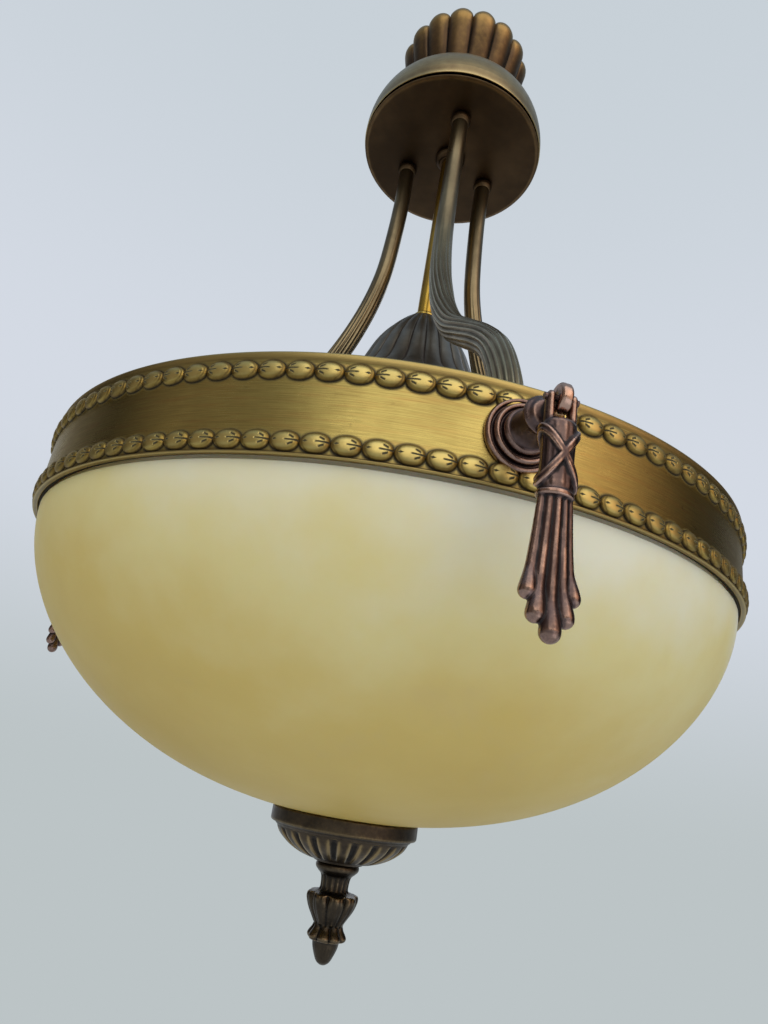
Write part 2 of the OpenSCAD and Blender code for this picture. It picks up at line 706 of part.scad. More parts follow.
module finial_plate() color("saddlebrown")
    let (top = gasket_t + rim_rise - glass_gap, low = top - fplate_rim_h, r = fplate_r, h = fplate_h)
    translate([0, 0, fplate_z])
        rotate_extrude()
            polygon([[hole_r, 0], [24, 0], [r - 6, top - 2.4], [r - 1.4, top - 0.3], [r - 0.4, top], [r, top - 0.5], [r, low + 0.6],
                [r - 0.6, low], [r - 3, low - 0.6], [r - 3.6, low - 1.8], [r*0.83, low - (h + low)*0.34], [r*0.72, low - (h + low)*0.58],
                [r*0.58, low - (h + low)*0.78], [r*0.42, low - (h + low)*0.9], [r*0.35, -h + 1.2], [r*0.33, -h], [hole_r, -h]]);

// Outline of the finial from its top down: share of its widest radius, and of its height
finial_shape = [[0.75, 0], [0.83, 0.025], [0.83, 0.064], [0.72, 0.1], [0.6, 0.133], [0.555, 0.192], [0.555, 0.27],
    [0.66, 0.296], [0.93, 0.31], [1, 0.343], [0.97, 0.396], [0.85, 0.475], [0.68, 0.553], [0.58, 0.606], [0.6, 0.646],
    [0.71, 0.694], [0.75, 0.726], [0.68, 0.756], [0.52, 0.768], [0.47, 0.828], [0.375, 0.9], [0.25, 0.965], [0.11, 0.994]];

module finial() color("saddlebrown")
    translate([0, 0, finial_z])
        difference() {
            rotate_extrude()
                polygon(concat([[0, 0]], [for (q = finial_shape) [finial_r*q[0], -finial_h*q[1]]], [[0, -finial_h]]));
            translate([0, 0, -rod_grip - 2])
                cylinder(r = rod_r + run_fit, h = rod_grip + 3);
        }

ceiling_bar();
earth_screw();
terminal_block();
threaded_rod();
rod_nuts();
ceiling_bell();
bell_washer();
canopy_cup();
canopy_disc();
center_collar();
arm_collars();
arm_nuts();
arm_washers();
arm_1();
arm_2();
arm_3();
center_tube();
dome_cap();
socket_dome();
lamp_plate();
lampholder_1();
lampholder_2();
lampholder_3();
screw_shell_1();
screw_shell_2();
screw_shell_3();
center_contacts();
holder_nipples();
nipple_nuts();
ring_band();
bead_row_upper();
bead_row_lower();
boss_1();
boss_2();
boss_3();
boss_studs();
tassel_pin_1();
tassel_pin_2();
tassel_pin_3();
tassel_1();
tassel_2();
tassel_3();
glass_bowl();
bowl_washer();
bowl_gasket();
finial_plate();
finial();
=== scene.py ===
import bpy
import math
import numpy as np
from mathutils import Matrix, Vector


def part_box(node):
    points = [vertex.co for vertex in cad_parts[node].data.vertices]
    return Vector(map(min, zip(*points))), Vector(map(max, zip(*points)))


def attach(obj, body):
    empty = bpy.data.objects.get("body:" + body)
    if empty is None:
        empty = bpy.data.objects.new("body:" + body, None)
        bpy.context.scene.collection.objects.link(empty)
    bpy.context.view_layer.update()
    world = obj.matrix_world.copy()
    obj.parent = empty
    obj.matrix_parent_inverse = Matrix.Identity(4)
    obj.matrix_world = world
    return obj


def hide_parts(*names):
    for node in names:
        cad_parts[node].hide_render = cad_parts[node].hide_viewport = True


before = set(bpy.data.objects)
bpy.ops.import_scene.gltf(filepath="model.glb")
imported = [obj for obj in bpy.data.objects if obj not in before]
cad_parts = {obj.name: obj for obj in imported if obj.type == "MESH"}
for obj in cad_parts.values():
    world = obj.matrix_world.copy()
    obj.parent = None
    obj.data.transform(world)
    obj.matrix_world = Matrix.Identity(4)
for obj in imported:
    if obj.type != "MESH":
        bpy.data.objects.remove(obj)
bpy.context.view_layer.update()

mm = 0.001
bandBase = -0.483           # height of the band's lower edge, in metres
bossAngles = (-90.0, 150.0, 30.0)
armTurn = -6.9              # how far the arms' tops are turned from their feet
bossHeight = 22.0           # of bosses and tassel pins over the band's lower edge, in millimetres as below
beadRows = (5.5, 35.4)      # heights of the two rows' middles over it
beadCount = 112             # round the band, in each row
beadHeight = 8.2
bowlDepth = 128.0
print("frame loaded")


# Camera

cameraSpot = {"place": (-0.08675, -0.41107, -0.58042), "yaw": 0.1925, "pitch": 0.3552, "roll": 0.1635,
              "lens": 23.763}


def placeCamera(spot):
    yaw, pitch, roll = spot["yaw"], spot["pitch"], spot["roll"]
    ahead = Vector((math.sin(yaw)*math.cos(pitch), math.cos(yaw)*math.cos(pitch), math.sin(pitch)))
    right = Vector((math.cos(yaw), -math.sin(yaw), 0))
    up = right.cross(ahead)
    side = math.cos(roll)*right + math.sin(roll)*up
    top = math.cos(roll)*up - math.sin(roll)*right
    turn = Matrix((side, top, -ahead)).transposed().to_4x4()
    data = bpy.data.cameras.new("photoCamera")
    data.lens = spot["lens"]
    data.sensor_width = 36
    data.clip_start = 0.01
    camera = bpy.data.objects.new("photoCamera", data)
    camera.matrix_world = Matrix.Translation(spot["place"]) @ turn
    bpy.context.scene.collection.objects.link(camera)
    bpy.context.scene.camera = camera


placeCamera(cameraSpot)
print("camera placed")


# Shader maths written as expressions

class Sock:
    def __init__(self, tree, socket):
        self.tree = tree
        self.socket = socket

    def math(self, operation, *terms, clamp=False):
        node = self.tree.nodes.new("ShaderNodeMath")
        node.operation = operation
        node.use_clamp = clamp
        for slot, term in zip(node.inputs, terms):
            if isinstance(term, Sock):
                self.tree.links.new(term.socket, slot)
            else:
                slot.default_value = term
        return Sock(self.tree, node.outputs[0])

    def __add__(self, other):
        return self.math("ADD", self, other)

    def __sub__(self, other):
        return self.math("SUBTRACT", self, other)

    def __rsub__(self, other):
        return self.math("SUBTRACT", other, self)

    def __mul__(self, other):
        return self.math("MULTIPLY", self, other)

    def __truediv__(self, other):
        return self.math("DIVIDE", self, other)

    def __pow__(self, other):
        return self.math("POWER", self, other)

    __radd__ = __add__
    __rmul__ = __mul__

    def sized(self):
        return self.math("ABSOLUTE", self)

    def held(self):
        return self.math("ADD", self, 0.0, clamp=True)

    def most(self, other):
        return self.math("MAXIMUM", self, other)

    def ease(self, low, high):
        node = self.tree.nodes.new("ShaderNodeMapRange")
        node.interpolation_type = "SMOOTHSTEP"
        self.tree.links.new(self.socket, node.inputs["Value"])
        node.inputs["From Min"].default_value = low
        node.inputs["From Max"].default_value = high
        return Sock(self.tree, node.outputs["Result"])


class Finish:
    def __init__(self, name, **steady):
        self.material = bpy.data.materials.new(name)
        self.material.use_nodes = True
        self.tree = self.material.node_tree
        self.shader = self.tree.nodes["Principled BSDF"]
        for socket, value in steady.items():
            self.shader.inputs[socket.replace("_", " ")].default_value = value
        self.space = self.node("ShaderNodeTexCoord")["Object"]

    def node(self, kind, settings=None, **values):
        made = self.tree.nodes.new(kind)
        for key, value in (settings or {}).items():
            if key == "stops":
                ramp = made.color_ramp
                while len(ramp.elements) < len(value):
                    ramp.elements.new(0.5)
                for element, (place, colour) in zip(ramp.elements, value):
                    element.position = place
                    element.color = tint(colour)
            else:
                setattr(made, key, value)
        for key, value in values.items():
            # n0, n1 and so on stand for a socket's number, other keys for its name
            numbered = key[0] == "n" and key[1:].isdigit()
            slot = made.inputs[int(key[1:]) if numbered else key.replace("_", " ")]
            if isinstance(value, Sock):
                self.tree.links.new(value.socket, slot)
            else:
                slot.default_value = value
        return {out.name: Sock(self.tree, out) for out in reversed(made.outputs) if out.enabled}

    def noise(self, scale, detail, roughness, where=None):
        values = {"Vector": where or self.space, "Scale": scale, "Detail": detail, "Roughness": roughness}
        return self.node("ShaderNodeTexNoise", None, **values)["Fac"]

    def mix(self, amount, under, over):
        under, over = [side if isinstance(side, Sock) else tint(side) for side in (under, over)]
        return self.node("ShaderNodeMix", {"data_type": "RGBA"}, n0=amount, n6=under, n7=over)["Result"]

    def blend(self, amount, under, over):
        return self.node("ShaderNodeMixShader", None, n0=amount, n1=under, n2=over)["Shader"]

    def axes(self, vector=None):
        parts = self.node("ShaderNodeSeparateXYZ", None, Vector=vector or self.space)
        return parts["X"], parts["Y"], parts["Z"]

    def mark(self, name, output="Fac"):
        return self.node("ShaderNodeAttribute", {"attribute_name": name})[output]

    def feed(self, **links):
        for socket, value in links.items():
            self.tree.links.new(value.socket, self.shader.inputs[socket.replace("_", " ")])

    def bump(self, height, depth):
        self.feed(Normal=self.node("ShaderNodeBump", None, Height=height, Distance=depth)["Normal"])


def tint(colour):
    # sRGB of 0 to 255 to the linear colour of a socket
    linear = [((c/255 + 0.055)/1.055)**2.4 if c > 10.3 else c/255/12.92 for c in colour]
    return (*linear, 1.0)


# Finishes: cast and spun brass under an antique patina

patinas = {
    # the bell's base, dark and rub colours are set darker than the cup's, as painted shade for the shade the
    # bell hangs in
    "lobed_bronze": {"base": (96, 76, 56), "dark": (60, 48, 38), "rub": (168, 136, 84),
        "recess": (26, 21, 18), "rough": 0.40, "cloud": 38, "grain": 900, "dent": 0.04,
        "worn": (0.2, 0.9), "tips": (-20, 4)},
    "cup_bronze": {"base": (132, 110, 80), "dark": (102, 84, 62), "rub": (196, 174, 126),
        "recess": (40, 33, 29), "rough": 0.34, "cloud": 20, "grain": 1100},
    "dark_bronze": {"base": (84, 65, 46), "dark": (56, 43, 32), "rub": (146, 118, 84),
        "recess": (28, 23, 20), "rough": 0.40, "cloud": 16, "grain": 1000},
    "fluted_bronze": {"base": (146, 132, 104), "dark": (104, 94, 76), "rub": (172, 160, 130),
        "recess": (46, 42, 40), "rough": 0.30, "cloud": 26, "grain": 900},
    "dome_bronze": {"base": (132, 126, 116), "dark": (94, 84, 72), "rub": (158, 154, 146),
        "recess": (58, 52, 47), "rough": 0.36, "cloud": 26, "grain": 900},
    "tube_brass": {"base": (206, 172, 78), "dark": (160, 126, 58), "rub": (226, 200, 116),
        "recess": (70, 52, 28), "rough": 0.28, "cloud": 24, "grain": 1200},
    "copper_bronze": {"base": (116, 97, 94), "dark": (76, 63, 64), "rub": (206, 168, 150),
        "recess": (24, 22, 26), "rough": 0.27, "cloud": 120, "grain": 1600, "dent": 0.04,
        "worn": (0.2, 0.85)},
    "plate_bronze": {"base": (86, 75, 63), "dark": (54, 47, 42), "rub": (156, 134, 96),
        "recess": (22, 19, 17), "rough": 0.36, "cloud": 80, "grain": 1400, "dent": 0.04},
    "finial_bronze": {"base": (78, 69, 58), "dark": (50, 44, 39), "rub": (156, 134, 104),
        "recess": (20, 18, 17), "rough": 0.34, "cloud": 90, "grain": 1400, "dent": 0.04,
        "worn": (0.2, 0.9)},
}


def patina(name, base, dark, rub, recess, rough, cloud, grain, dent=0.02, worn=(0.12, 0.75), tips=None):
    metal = Finish(name, Metallic=1.0)
    clouds = metal.noise(cloud, 4, 0.6).ease(0.3, 0.72)
    specks = metal.noise(cloud*7, 3, 0.6)
    fine = metal.noise(grain, 2, 0.6)
    colour = metal.mix(clouds*0.75 + specks*0.2, base, dark)
    relief = metal.mark("relief") + (specks - 0.5)*0.35
    rubbed = relief.ease(*worn)
    sunk = (0 - relief).ease(0.08, 0.6)
    colour = metal.mix(rubbed*0.85, colour, rub)
    colour = metal.mix(sunk*0.92, colour, recess)
    if tips:
        height = metal.axes()[2]/mm
        colour = metal.mix((height + specks*6).ease(*tips)*0.6, colour, rub)
    roughness = clouds*0.12 + fine*0.08 + (rough - 0.06) - rubbed*0.08 + sunk*0.25
    metal.feed(Base_Color=colour, Roughness=roughness, Metallic=1 - sunk*0.45)
    metal.bump(fine*0.35 + specks*0.65, dent*mm*2.2)
    return metal.material


finishes = {name: patina(name, **look) for name, look in patinas.items()}


def brushedBand(name, base, dark, warm, spot, rub, recess, rough):
    # fine brushing round the band, with painted shade near the mouldings
    metal = Finish(name, Metallic=1.0)
    x, y, z = metal.axes()
    turn = y.math("ARCTAN2", y, x)

    def lane(length, rise):
        return metal.node("ShaderNodeCombineXYZ", None, X=turn*length, Y=z*rise, Z=0.0)["Vector"]

    lines = metal.noise(420, 3, 0.7, lane(0.022, 7.0))
    wide = metal.noise(110, 2, 0.6, lane(0.07, 4.0))
    clouds = metal.noise(34, 4, 0.6).ease(0.32, 0.7)
    spots = metal.noise(210, 3, 0.65).ease(0.66, 0.8)
    relief = metal.mark("relief") + (wide - 0.5)*0.3
    rubbed = relief.ease(0.15, 0.7)
    sunk = (0 - relief).ease(0.1, 0.6)
    colour = metal.mix(lines.ease(0.36, 0.66)*0.55 + clouds*0.3, base, dark)
    colour = metal.mix(wide.ease(0.45, 0.75)*0.35, colour, warm)
    colour = metal.mix(spots*0.45, colour, spot)
    # a painted shadow line that hugs every bead, in the crease where it meets the band
    level = z/mm - bandBase/mm
    along = turn.math("FRACT", turn*(beadCount/(2*math.pi))) - 0.5
    beadShadeLine = None
    for row in beadRows:
        high = (level - row)/(beadHeight/2)
        far = (along*along*4.0 + high*high)**0.5
        line = 1 - far.ease(1.0, 1.34)
        beadShadeLine = beadShadeLine.most(line) if beadShadeLine else line
    # that line stays off the wall's inner side, where painted shade darkens only the gap over the glass
    out = (x*x + y*y)**0.5/mm
    gapShade = (1 - out.ease(201.5, 202.0))*(1 - level.ease(1.5, 2.0))
    # painted shade of the bead line and of the gap is added to the dark recesses of the patina
    sunk = sunk.most(beadShadeLine*out.ease(202.7, 203.1)).most(gapShade)
    # painted shade: the top rim and the lower lip are darkened towards the spot colour and made rougher
    edges = (level.ease(38.6, 41)*0.75).most(0.85 - level.ease(1.0, 3.2)*0.85).most(1 - level.ease(0.1, 0.7))
    colour = metal.mix(edges*0.9, colour, spot)
    colour = metal.mix(rubbed*0.55, colour, rub)
    colour = metal.mix(sunk*0.95, colour, recess)
    roughness = lines*0.14 + clouds*0.06 + sunk*0.25 + edges*0.12 + (rough - 0.1)
    metal.feed(Base_Color=colour, Roughness=roughness, Metallic=1 - sunk*0.5)
    metal.bump(lines, 0.07*mm)
    return metal.material


finishes["band_brass"] = brushedBand("band_brass", **{
    "base": (200, 182, 110), "dark": (150, 130, 76), "warm": (182, 140, 84), "spot": (104, 82, 54),
    "rub": (216, 192, 124), "recess": (40, 36, 31), "rough": 0.30})


def beadFinish(name, base, dark, rub, recess, rough):
    # cast bead brass with the engraved slits, rubbed wear with a painted highlight on each crown, and a
    # painted shadow round each bead's outline
    metal = Finish(name, Metallic=1.0)
    along, across, lift = metal.axes(metal.mark("beadPlace", "Vector"))
    specks = metal.noise(700, 3, 0.6)
    clouds = metal.noise(90, 3, 0.6).ease(0.3, 0.72)
    wander = (metal.noise(260, 2, 0.5) - 0.5)*0.22
    rim = (along*along*0.96 + across*across + wander*0.3).ease(0.84, 1.0)
    middle = (across + wander*0.4).sized()
    slit = (1 - middle.ease(0.03, 0.11))*(1 - (along + 0.1).ease(-0.04, 0.1))*along.ease(-1.0, -0.94)
    side = (middle - (0.62 + along*0.62)).sized()
    barbs = (1 - side.ease(0.04, 0.14))*along.ease(-0.66, -0.56)*(1 - along.ease(-0.34, -0.22))
    capLine = 1 - (along - 0.8 + across*across*0.5).sized().ease(0.02, 0.1)
    notch = 1 - ((along - 0.56).sized()*0.9 + middle*1.5).ease(0.1, 0.24)
    cuts = slit.most(barbs).most(capLine*0.3).most(notch)
    colour = metal.mix(clouds*0.7 + specks*0.15, base, dark)
    # each bead's crown is lighter: partly rubbed wear, partly a painted highlight
    colour = metal.mix(lift.ease(0.5, 0.96)*0.75, colour, rub)
    colour = metal.mix(cuts*0.92, colour, recess)
    # painted shade: each bead's rim is darkened in the crease where it meets the band
    colour = metal.mix(rim*0.95, colour, recess)
    roughness = clouds*0.12 + specks*0.1 + cuts*0.25 + rim*0.3 + (rough - 0.08)
    metal.feed(Base_Color=colour, Roughness=roughness, Metallic=1 - cuts.most(rim)*0.55)
    metal.bump((1 - cuts) + specks*0.12, 0.35*mm)
    return metal.material


finishes["beadFinish"] = beadFinish("beadFinish", **{
    "base": (166, 140, 74), "dark": (112, 89, 50), "rub": (232, 211, 136), "recess": (42, 38, 31),
    "rough": 0.36})


def satinGlass(name, stops, puff):
    # etched glass with its own amber clouds, and painted shade that deepens the amber lower down and on the
    # -x side
    glass = Finish(name, Roughness=0.4, IOR=1.5, Subsurface_Weight=0.25,
                   Subsurface_Radius=(0.02, 0.014, 0.008), Subsurface_Scale=0.5, Specular_IOR_Level=0.3)
    x, z = glass.axes()[::2]
    depth = (bandBase - z)/(bowlDepth*mm)
    broad = glass.noise(9, 3, 0.55)
    puffs = glass.noise(22, 4, 0.6)
    fine = glass.noise(420, 2, 0.6)
    # painted shade: the amber grows with depth and towards -x; the noise terms are the glass's own clouding
    amberAndShade = (depth*0.95 + (broad - 0.5)*0.78 + (puffs - 0.5)*0.35 + (0 - x).ease(0.03, 0.2)*0.32).held()
    colour = glass.node("ShaderNodeValToRGB", {"stops": stops}, Fac=amberAndShade)["Color"]
    colour = glass.mix(puffs.ease(0.55, 0.8)*0.25, colour, puff)
    glass.feed(Base_Color=colour, Roughness=0.42 + broad*0.1 + fine*0.04)
    glass.bump(fine, 0.02*mm)
    return glass.material


finishes["satin_glass"] = satinGlass("satin_glass", **{
    "stops": ((0.0, (234, 231, 208)), (0.32, (226, 214, 152)),
              (0.62, (216, 194, 113)), (1.0, (205, 179, 92))),
    "puff": (210, 196, 152)})


def plainParts(name, colour, second, metallic, rough, scale):
    part = Finish(name, Metallic=metallic)
    cloud = part.noise(scale, 4, 0.6).ease(0.3, 0.7)
    grain = part.noise(scale*18, 2, 0.6)
    part.feed(Base_Color=part.mix(cloud*0.7 + grain*0.2, colour, second),
              Roughness=cloud*0.14 + grain*0.08 + (rough - 0.1))
    part.bump(grain, 0.04*mm)
    return part.material


plainFinishes = {
    "steel": ((176, 176, 174), (120, 118, 114), 1.0, 0.34, 60),
    "bare_brass": ((206, 170, 84), (140, 108, 52), 1.0, 0.3, 70),
    "terminal_plastic": ((226, 220, 204), (206, 198, 178), 0.0, 0.5, 80),
    "porcelain": ((236, 232, 222), (220, 214, 200), 0.0, 0.24, 40),
    "washer_rubber": ((48, 46, 44), (34, 32, 31), 0.0, 0.7, 120),
}
for name, look in plainFinishes.items():
    finishes[name] = plainParts(name, *look)
print("finishes mixed")


# Tools for making pieces

def freshStart():
    if bpy.context.object and bpy.context.object.mode != "OBJECT":
        bpy.ops.object.mode_set(mode="OBJECT")
    bpy.ops.object.select_all(action="DESELECT")


def pick(*objects):
    freshStart()
    for obj in objects:
        obj.select_set(True)
    bpy.context.view_layer.objects.active = objects[0]


def named(name):
    obj = bpy.context.object
    obj.name = name
    obj.data.name = name
    return obj


def added(name, primitive, **options):
    # a new primitive, with its place, turn and size applied to its mesh
    freshStart()
    primitive(**options)
    bpy.ops.object.transform_apply(location=True, rotation=True, scale=True)
    return named(name)


def ball(name, segments, rings, **options):
    return added(name, bpy.ops.mesh.primitive_uv_sphere_add, segments=segments, ring_count=rings, **options)


def drum(name, sides, **options):
    return added(name, bpy.ops.mesh.primitive_cylinder_add, vertices=sides, **options)


def points(obj):
    flat = np.empty(len(obj.data.vertices)*3)
    obj.data.vertices.foreach_get("co", flat)
    return flat.reshape(-1, 3)


def setPoints(obj, places):
    obj.data.vertices.foreach_set("co", np.asarray(places, dtype=float).ravel())
    obj.data.update()


def editAll(obj, *steps):
    # runs edit mode operators on the whole mesh
    pick(obj)
    bpy.ops.object.mode_set(mode="EDIT")
    bpy.ops.mesh.select_all(action="SELECT")
    for step, options in steps:
        step(**options)
    bpy.ops.object.mode_set(mode="OBJECT")


def faceOut(obj):
    editAll(obj, (bpy.ops.mesh.normals_make_consistent, dict(inside=False)))


def apply(obj, kind, **settings):
    pick(obj)
    made = obj.modifiers.new("shape", kind)
    for key, value in settings.items():
        setattr(made, key, value)
    bpy.ops.object.modifier_apply(modifier=made.name)


def combine(obj, other, operation="UNION"):
    apply(obj, "BOOLEAN", operation=operation, object=other, solver="EXACT")
    bpy.data.objects.remove(other)


def eased(outline, ease=0.3, cuts=3):
    # rounds the corners of an outline, where a third number is that corner's own rounding, 0 on a smooth run
    rounded, firm = [], []
    count = len(outline)
    for i, corner in enumerate(outline):
        here = Vector(corner[:2])
        back = Vector(outline[i - 1][:2]) - here
        on = Vector(outline[(i + 1) % count][:2]) - here
        reach = min(corner[2] if len(corner) > 2 else ease, back.length*0.47, on.length*0.47)
        if reach < 0.02 or back.normalized().dot(on.normalized()) < -0.995:
            rounded.append(here)
            firm.append(len(corner) < 3 or corner[2] > 0)
            continue
        start, end = here + back.normalized()*reach, here + on.normalized()*reach
        for k in range(cuts + 1):
            t = k/cuts
            rounded.append(start*(1 - t)**2 + here*2*t*(1 - t) + end*t*t)
            firm.append(True)
    # holding rings on long runs, so that wear painted on an edge stays beside it
    held = []
    for i, here in enumerate(rounded):
        on = rounded[(i + 1) % len(rounded)]
        held.append(here)
        run = (on - here).length
        spots = [0.5, 1.4] if run > 4 else [0.5] if run > 1.5 and firm[i] else []
        for spot in spots + [run - spot for spot in reversed(spots)]:
            held.append(here + (on - here)*(spot/run))
    return [(max(p.x, 0.0), p.y) for p in held]


def lathe(name, outline, base, steps):
    # an outline of radius and height in millimetres, spun round the lamp's axis over a base in metres
    obj = added(name, bpy.ops.mesh.primitive_circle_add, vertices=len(outline), radius=0.01)
    setPoints(obj, [(r*mm, 0, base + h*mm) for r, h in outline])
    spin = dict(steps=steps, angle=2*math.pi, use_auto_merge=True, center=(0, 0, 0), axis=(0, 0, 1))
    editAll(obj, (bpy.ops.mesh.spin, spin))
    editAll(obj, (bpy.ops.mesh.remove_doubles, dict(threshold=2e-6)),
            (bpy.ops.mesh.delete_loose, dict(use_verts=True, use_edges=True, use_faces=False)))
    faceOut(obj)
    return obj


def press(obj, weights, depth):
    # pushes the surface in along its normal, by depth where the weight is 1
    group = obj.vertex_groups.new(name="press")
    steps = 160
    level = np.round(np.clip(weights, 0, 1)*steps).astype(int)
    for step in np.unique(level):
        if step:
            group.add(np.nonzero(level == step)[0].tolist(), step/steps, "REPLACE")
    apply(obj, "DISPLACE", vertex_group=group.name, strength=-depth, mid_level=0.0, direction="NORMAL")
    obj.vertex_groups.clear()


def markRelief(obj, rounds, height, broad=0.0):
    # keeps how far each point stands above its smoothed surroundings, for rubbed edges and dark recesses
    mesh = obj.data
    count = len(mesh.vertices)
    ends = np.empty(len(mesh.edges)*2, dtype=int)
    mesh.edges.foreach_get("vertices", ends)
    a, b = ends.reshape(-1, 2).T
    start = points(obj)
    pull = 1.0/(np.linalg.norm(start[a] - start[b], axis=1) + 1e-6)
    total = np.bincount(a, pull, count) + np.bincount(b, pull, count) + 1e-9
    normal = np.empty(count*3)
    mesh.vertices.foreach_get("normal", normal)
    normal = normal.reshape(-1, 3)
    place = start.copy()
    relief = np.zeros(count)
    for step in range(1, (rounds*8 if broad else rounds) + 1):
        fresh = np.empty_like(place)
        for axis in range(3):
            near = np.bincount(a, pull*place[b, axis], count) + np.bincount(b, pull*place[a, axis], count)
            fresh[:, axis] = near/total
        place = place*0.4 + fresh*0.6
        if step == rounds:
            relief += ((start - place)*normal).sum(axis=1)/(height*mm)
    if broad:
        relief += np.clip(((start - place)*normal).sum(axis=1)/(broad*mm), -0.8, 0.25)
    mesh.attributes.new("relief", "FLOAT", "POINT").data.foreach_set("value", np.clip(relief, -1, 1))


def smooth(obj, angle, *relief):
    # shades a finished shape, with its relief marked first where a finish reads it
    if relief:
        markRelief(obj, *relief)
    pick(obj)
    bpy.ops.object.shade_smooth_by_angle(angle=math.radians(angle))


def dress(obj, finish, body, slot, *replaced):
    obj.data.materials.clear()
    obj.data.materials.append(finishes[finish])
    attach(obj, body)
    if replaced:
        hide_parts(*replaced)


def joined(name, *objects):
    pick(*objects)
    bpy.ops.object.join()
    return named(name)


def copied(obj, name):
    twin = obj.copy()
    twin.data = obj.data.copy()
    twin.name = name
    twin.data.name = name
    bpy.context.scene.collection.objects.link(twin)
    return twin


def turned(obj, degrees):
    obj.data.transform(Matrix.Rotation(math.radians(degrees), 4, "Z"))
    return obj


def threefold(cast, piece, finish, body, slot, node):
    # one copy for each boss, whose number takes the place of # in the names
    for number, angle in zip("123", bossAngles):
        one = turned(copied(cast, piece.replace("#", number)), angle)
        dress(one, finish, body.replace("#", number), slot, node.replace("#", number))
    bpy.data.objects.remove(cast)


def sweep(name, path, radii, tilts=None, sides=24):
    # a round rod along a path, in metres
    data = bpy.data.curves.new(name, "CURVE")
    data.dimensions = "3D"
    ring = None
    if sides > 64:
        ring = bpy.data.objects.new("ring", bpy.data.curves.new("ring", "CURVE"))
        loop = ring.data.splines.new("POLY")
        loop.points.add(sides - 1)
        for i, point in enumerate(loop.points):
            point.co = (math.cos(2*math.pi*i/sides), math.sin(2*math.pi*i/sides), 0, 1)
        loop.use_cyclic_u = True
        data.bevel_mode = "OBJECT"
        data.bevel_object = ring
    data.bevel_depth = 1.0
    data.bevel_resolution = max(0, min(sides, 64)//2 - 2)
    data.use_fill_caps = True
    spline = data.splines.new("POLY")
    spline.points.add(len(path) - 1)
    for i, point in enumerate(spline.points):
        point.co = (*path[i], 1.0)
        point.radius = radii[i]
        point.tilt = tilts[i] if tilts else 0.0
    obj = bpy.data.objects.new(name, data)
    bpy.context.scene.collection.objects.link(obj)
    pick(obj)
    bpy.ops.object.convert(target="MESH")
    if ring:
        bpy.data.objects.remove(ring)
    return named(name)


def around(obj):
    place = points(obj)
    return np.degrees(np.arctan2(place[:, 1], place[:, 0])), np.hypot(place[:, 0], place[:, 1]), place[:, 2]


def valleys(angle, count):
    # 0 on a lobe's ridge, 1 in the cleft between two
    return 1 - np.sqrt(np.abs(np.cos(np.radians(count*angle/2))))


def carve(obj, radius, cut, drop=0.0):
    # moves each point towards the axis by its cut, and down by its drop
    place = points(obj)
    place[:, :2] *= ((radius - cut)/np.maximum(radius, 1e-6))[:, None]
    place[:, 2] -= drop
    setPoints(obj, place)


# Canopy: the lobed bell, the cup under it and the disc that closes the cup

bell = {"lobes": 16, "depth": 5.2, "foot": 40.0, "mouth": 53.6, "height": 62.0, "lip": 0.84, "turnIn": 6.5,
        "steps": 352}


def makeBell():
    rings = []
    flare, lip = bell["mouth"] - bell["foot"], bell["lip"]
    for k in np.concatenate((np.linspace(0, lip, 20), lip + 0.16*np.sin(np.linspace(0.15, 1, 9)*math.pi/2))):
        rise = min(1, k/0.86)
        radius = bell["foot"] + flare*(0.7*rise + 0.3*math.sin(math.pi/2*rise))
        bend = min(1.0, max(0.0, (k - lip)/0.16))
        rings.append((radius - bell["turnIn"]*(1 - math.sqrt(1 - bend**2)), -bell["height"]*(1 - k)))
    inner = [(r - 6.4, z) for r, z in rings[-3:2:-6]]
    outline = rings + [(rings[-1][0] - 3.0, -0.2)] + inner + [(34, -60.0), (13, -60.0), (13, -62.0)]
    obj = lathe("bell", outline, 0.0, bell["steps"])
    angle, radius, height = around(obj)
    share = np.clip(1 + height/(bell["height"]*mm), 0, 1)
    outside = radius > (bell["foot"] - 3.0 + flare*share*0.75 - 5*(share > lip))*mm
    valley = valleys(angle, bell["lobes"])
    cut = np.where(outside, bell["depth"]*mm*valley*(0.35 + 0.65*share), 0)
    tip = np.clip((share - 0.8)/0.2, 0, 1)**2
    carve(obj, radius, cut, np.where(outside, tip*valley*5.0*mm, 0))
    smooth(obj, 60, 26, 0.9)
    dress(obj, "lobed_bronze", "lamp", "lobed_bronze", "ceiling_bell")


def quarterDome(rim, top, base, rise):
    turns = [math.radians(t*90/16) for t in range(17)]
    return [(top + (rim - top)*math.cos(turn), base + rise*math.sin(turn)) for turn in turns]


cup = {"radius": 72.0, "top": 45.0, "rim": -104.4, "side": -100.0, "peak": -62.0, "sheet": 1.2}


def makeCup():
    radius, sheet, peak = cup["radius"], cup["sheet"], cup["peak"]
    rise = peak - cup["side"]
    outer = quarterDome(radius, cup["top"], cup["side"], rise)
    inner = quarterDome(radius - sheet, cup["top"], cup["side"], rise - sheet)
    outline = [(radius - 1.1, cup["rim"]), (radius, cup["rim"], 0.35), *outer, (6, peak), (6, peak - sheet),
               *inner[::-1]]
    obj = lathe("cup", eased(outline), 0.0, 224)
    smooth(obj, 50, 14, 0.25)
    dress(obj, "cup_bronze", "lamp", "lobed_bronze", "canopy_cup")


disc = {"face": -108.0, "edge": 71.4, "bevel": 2.2}


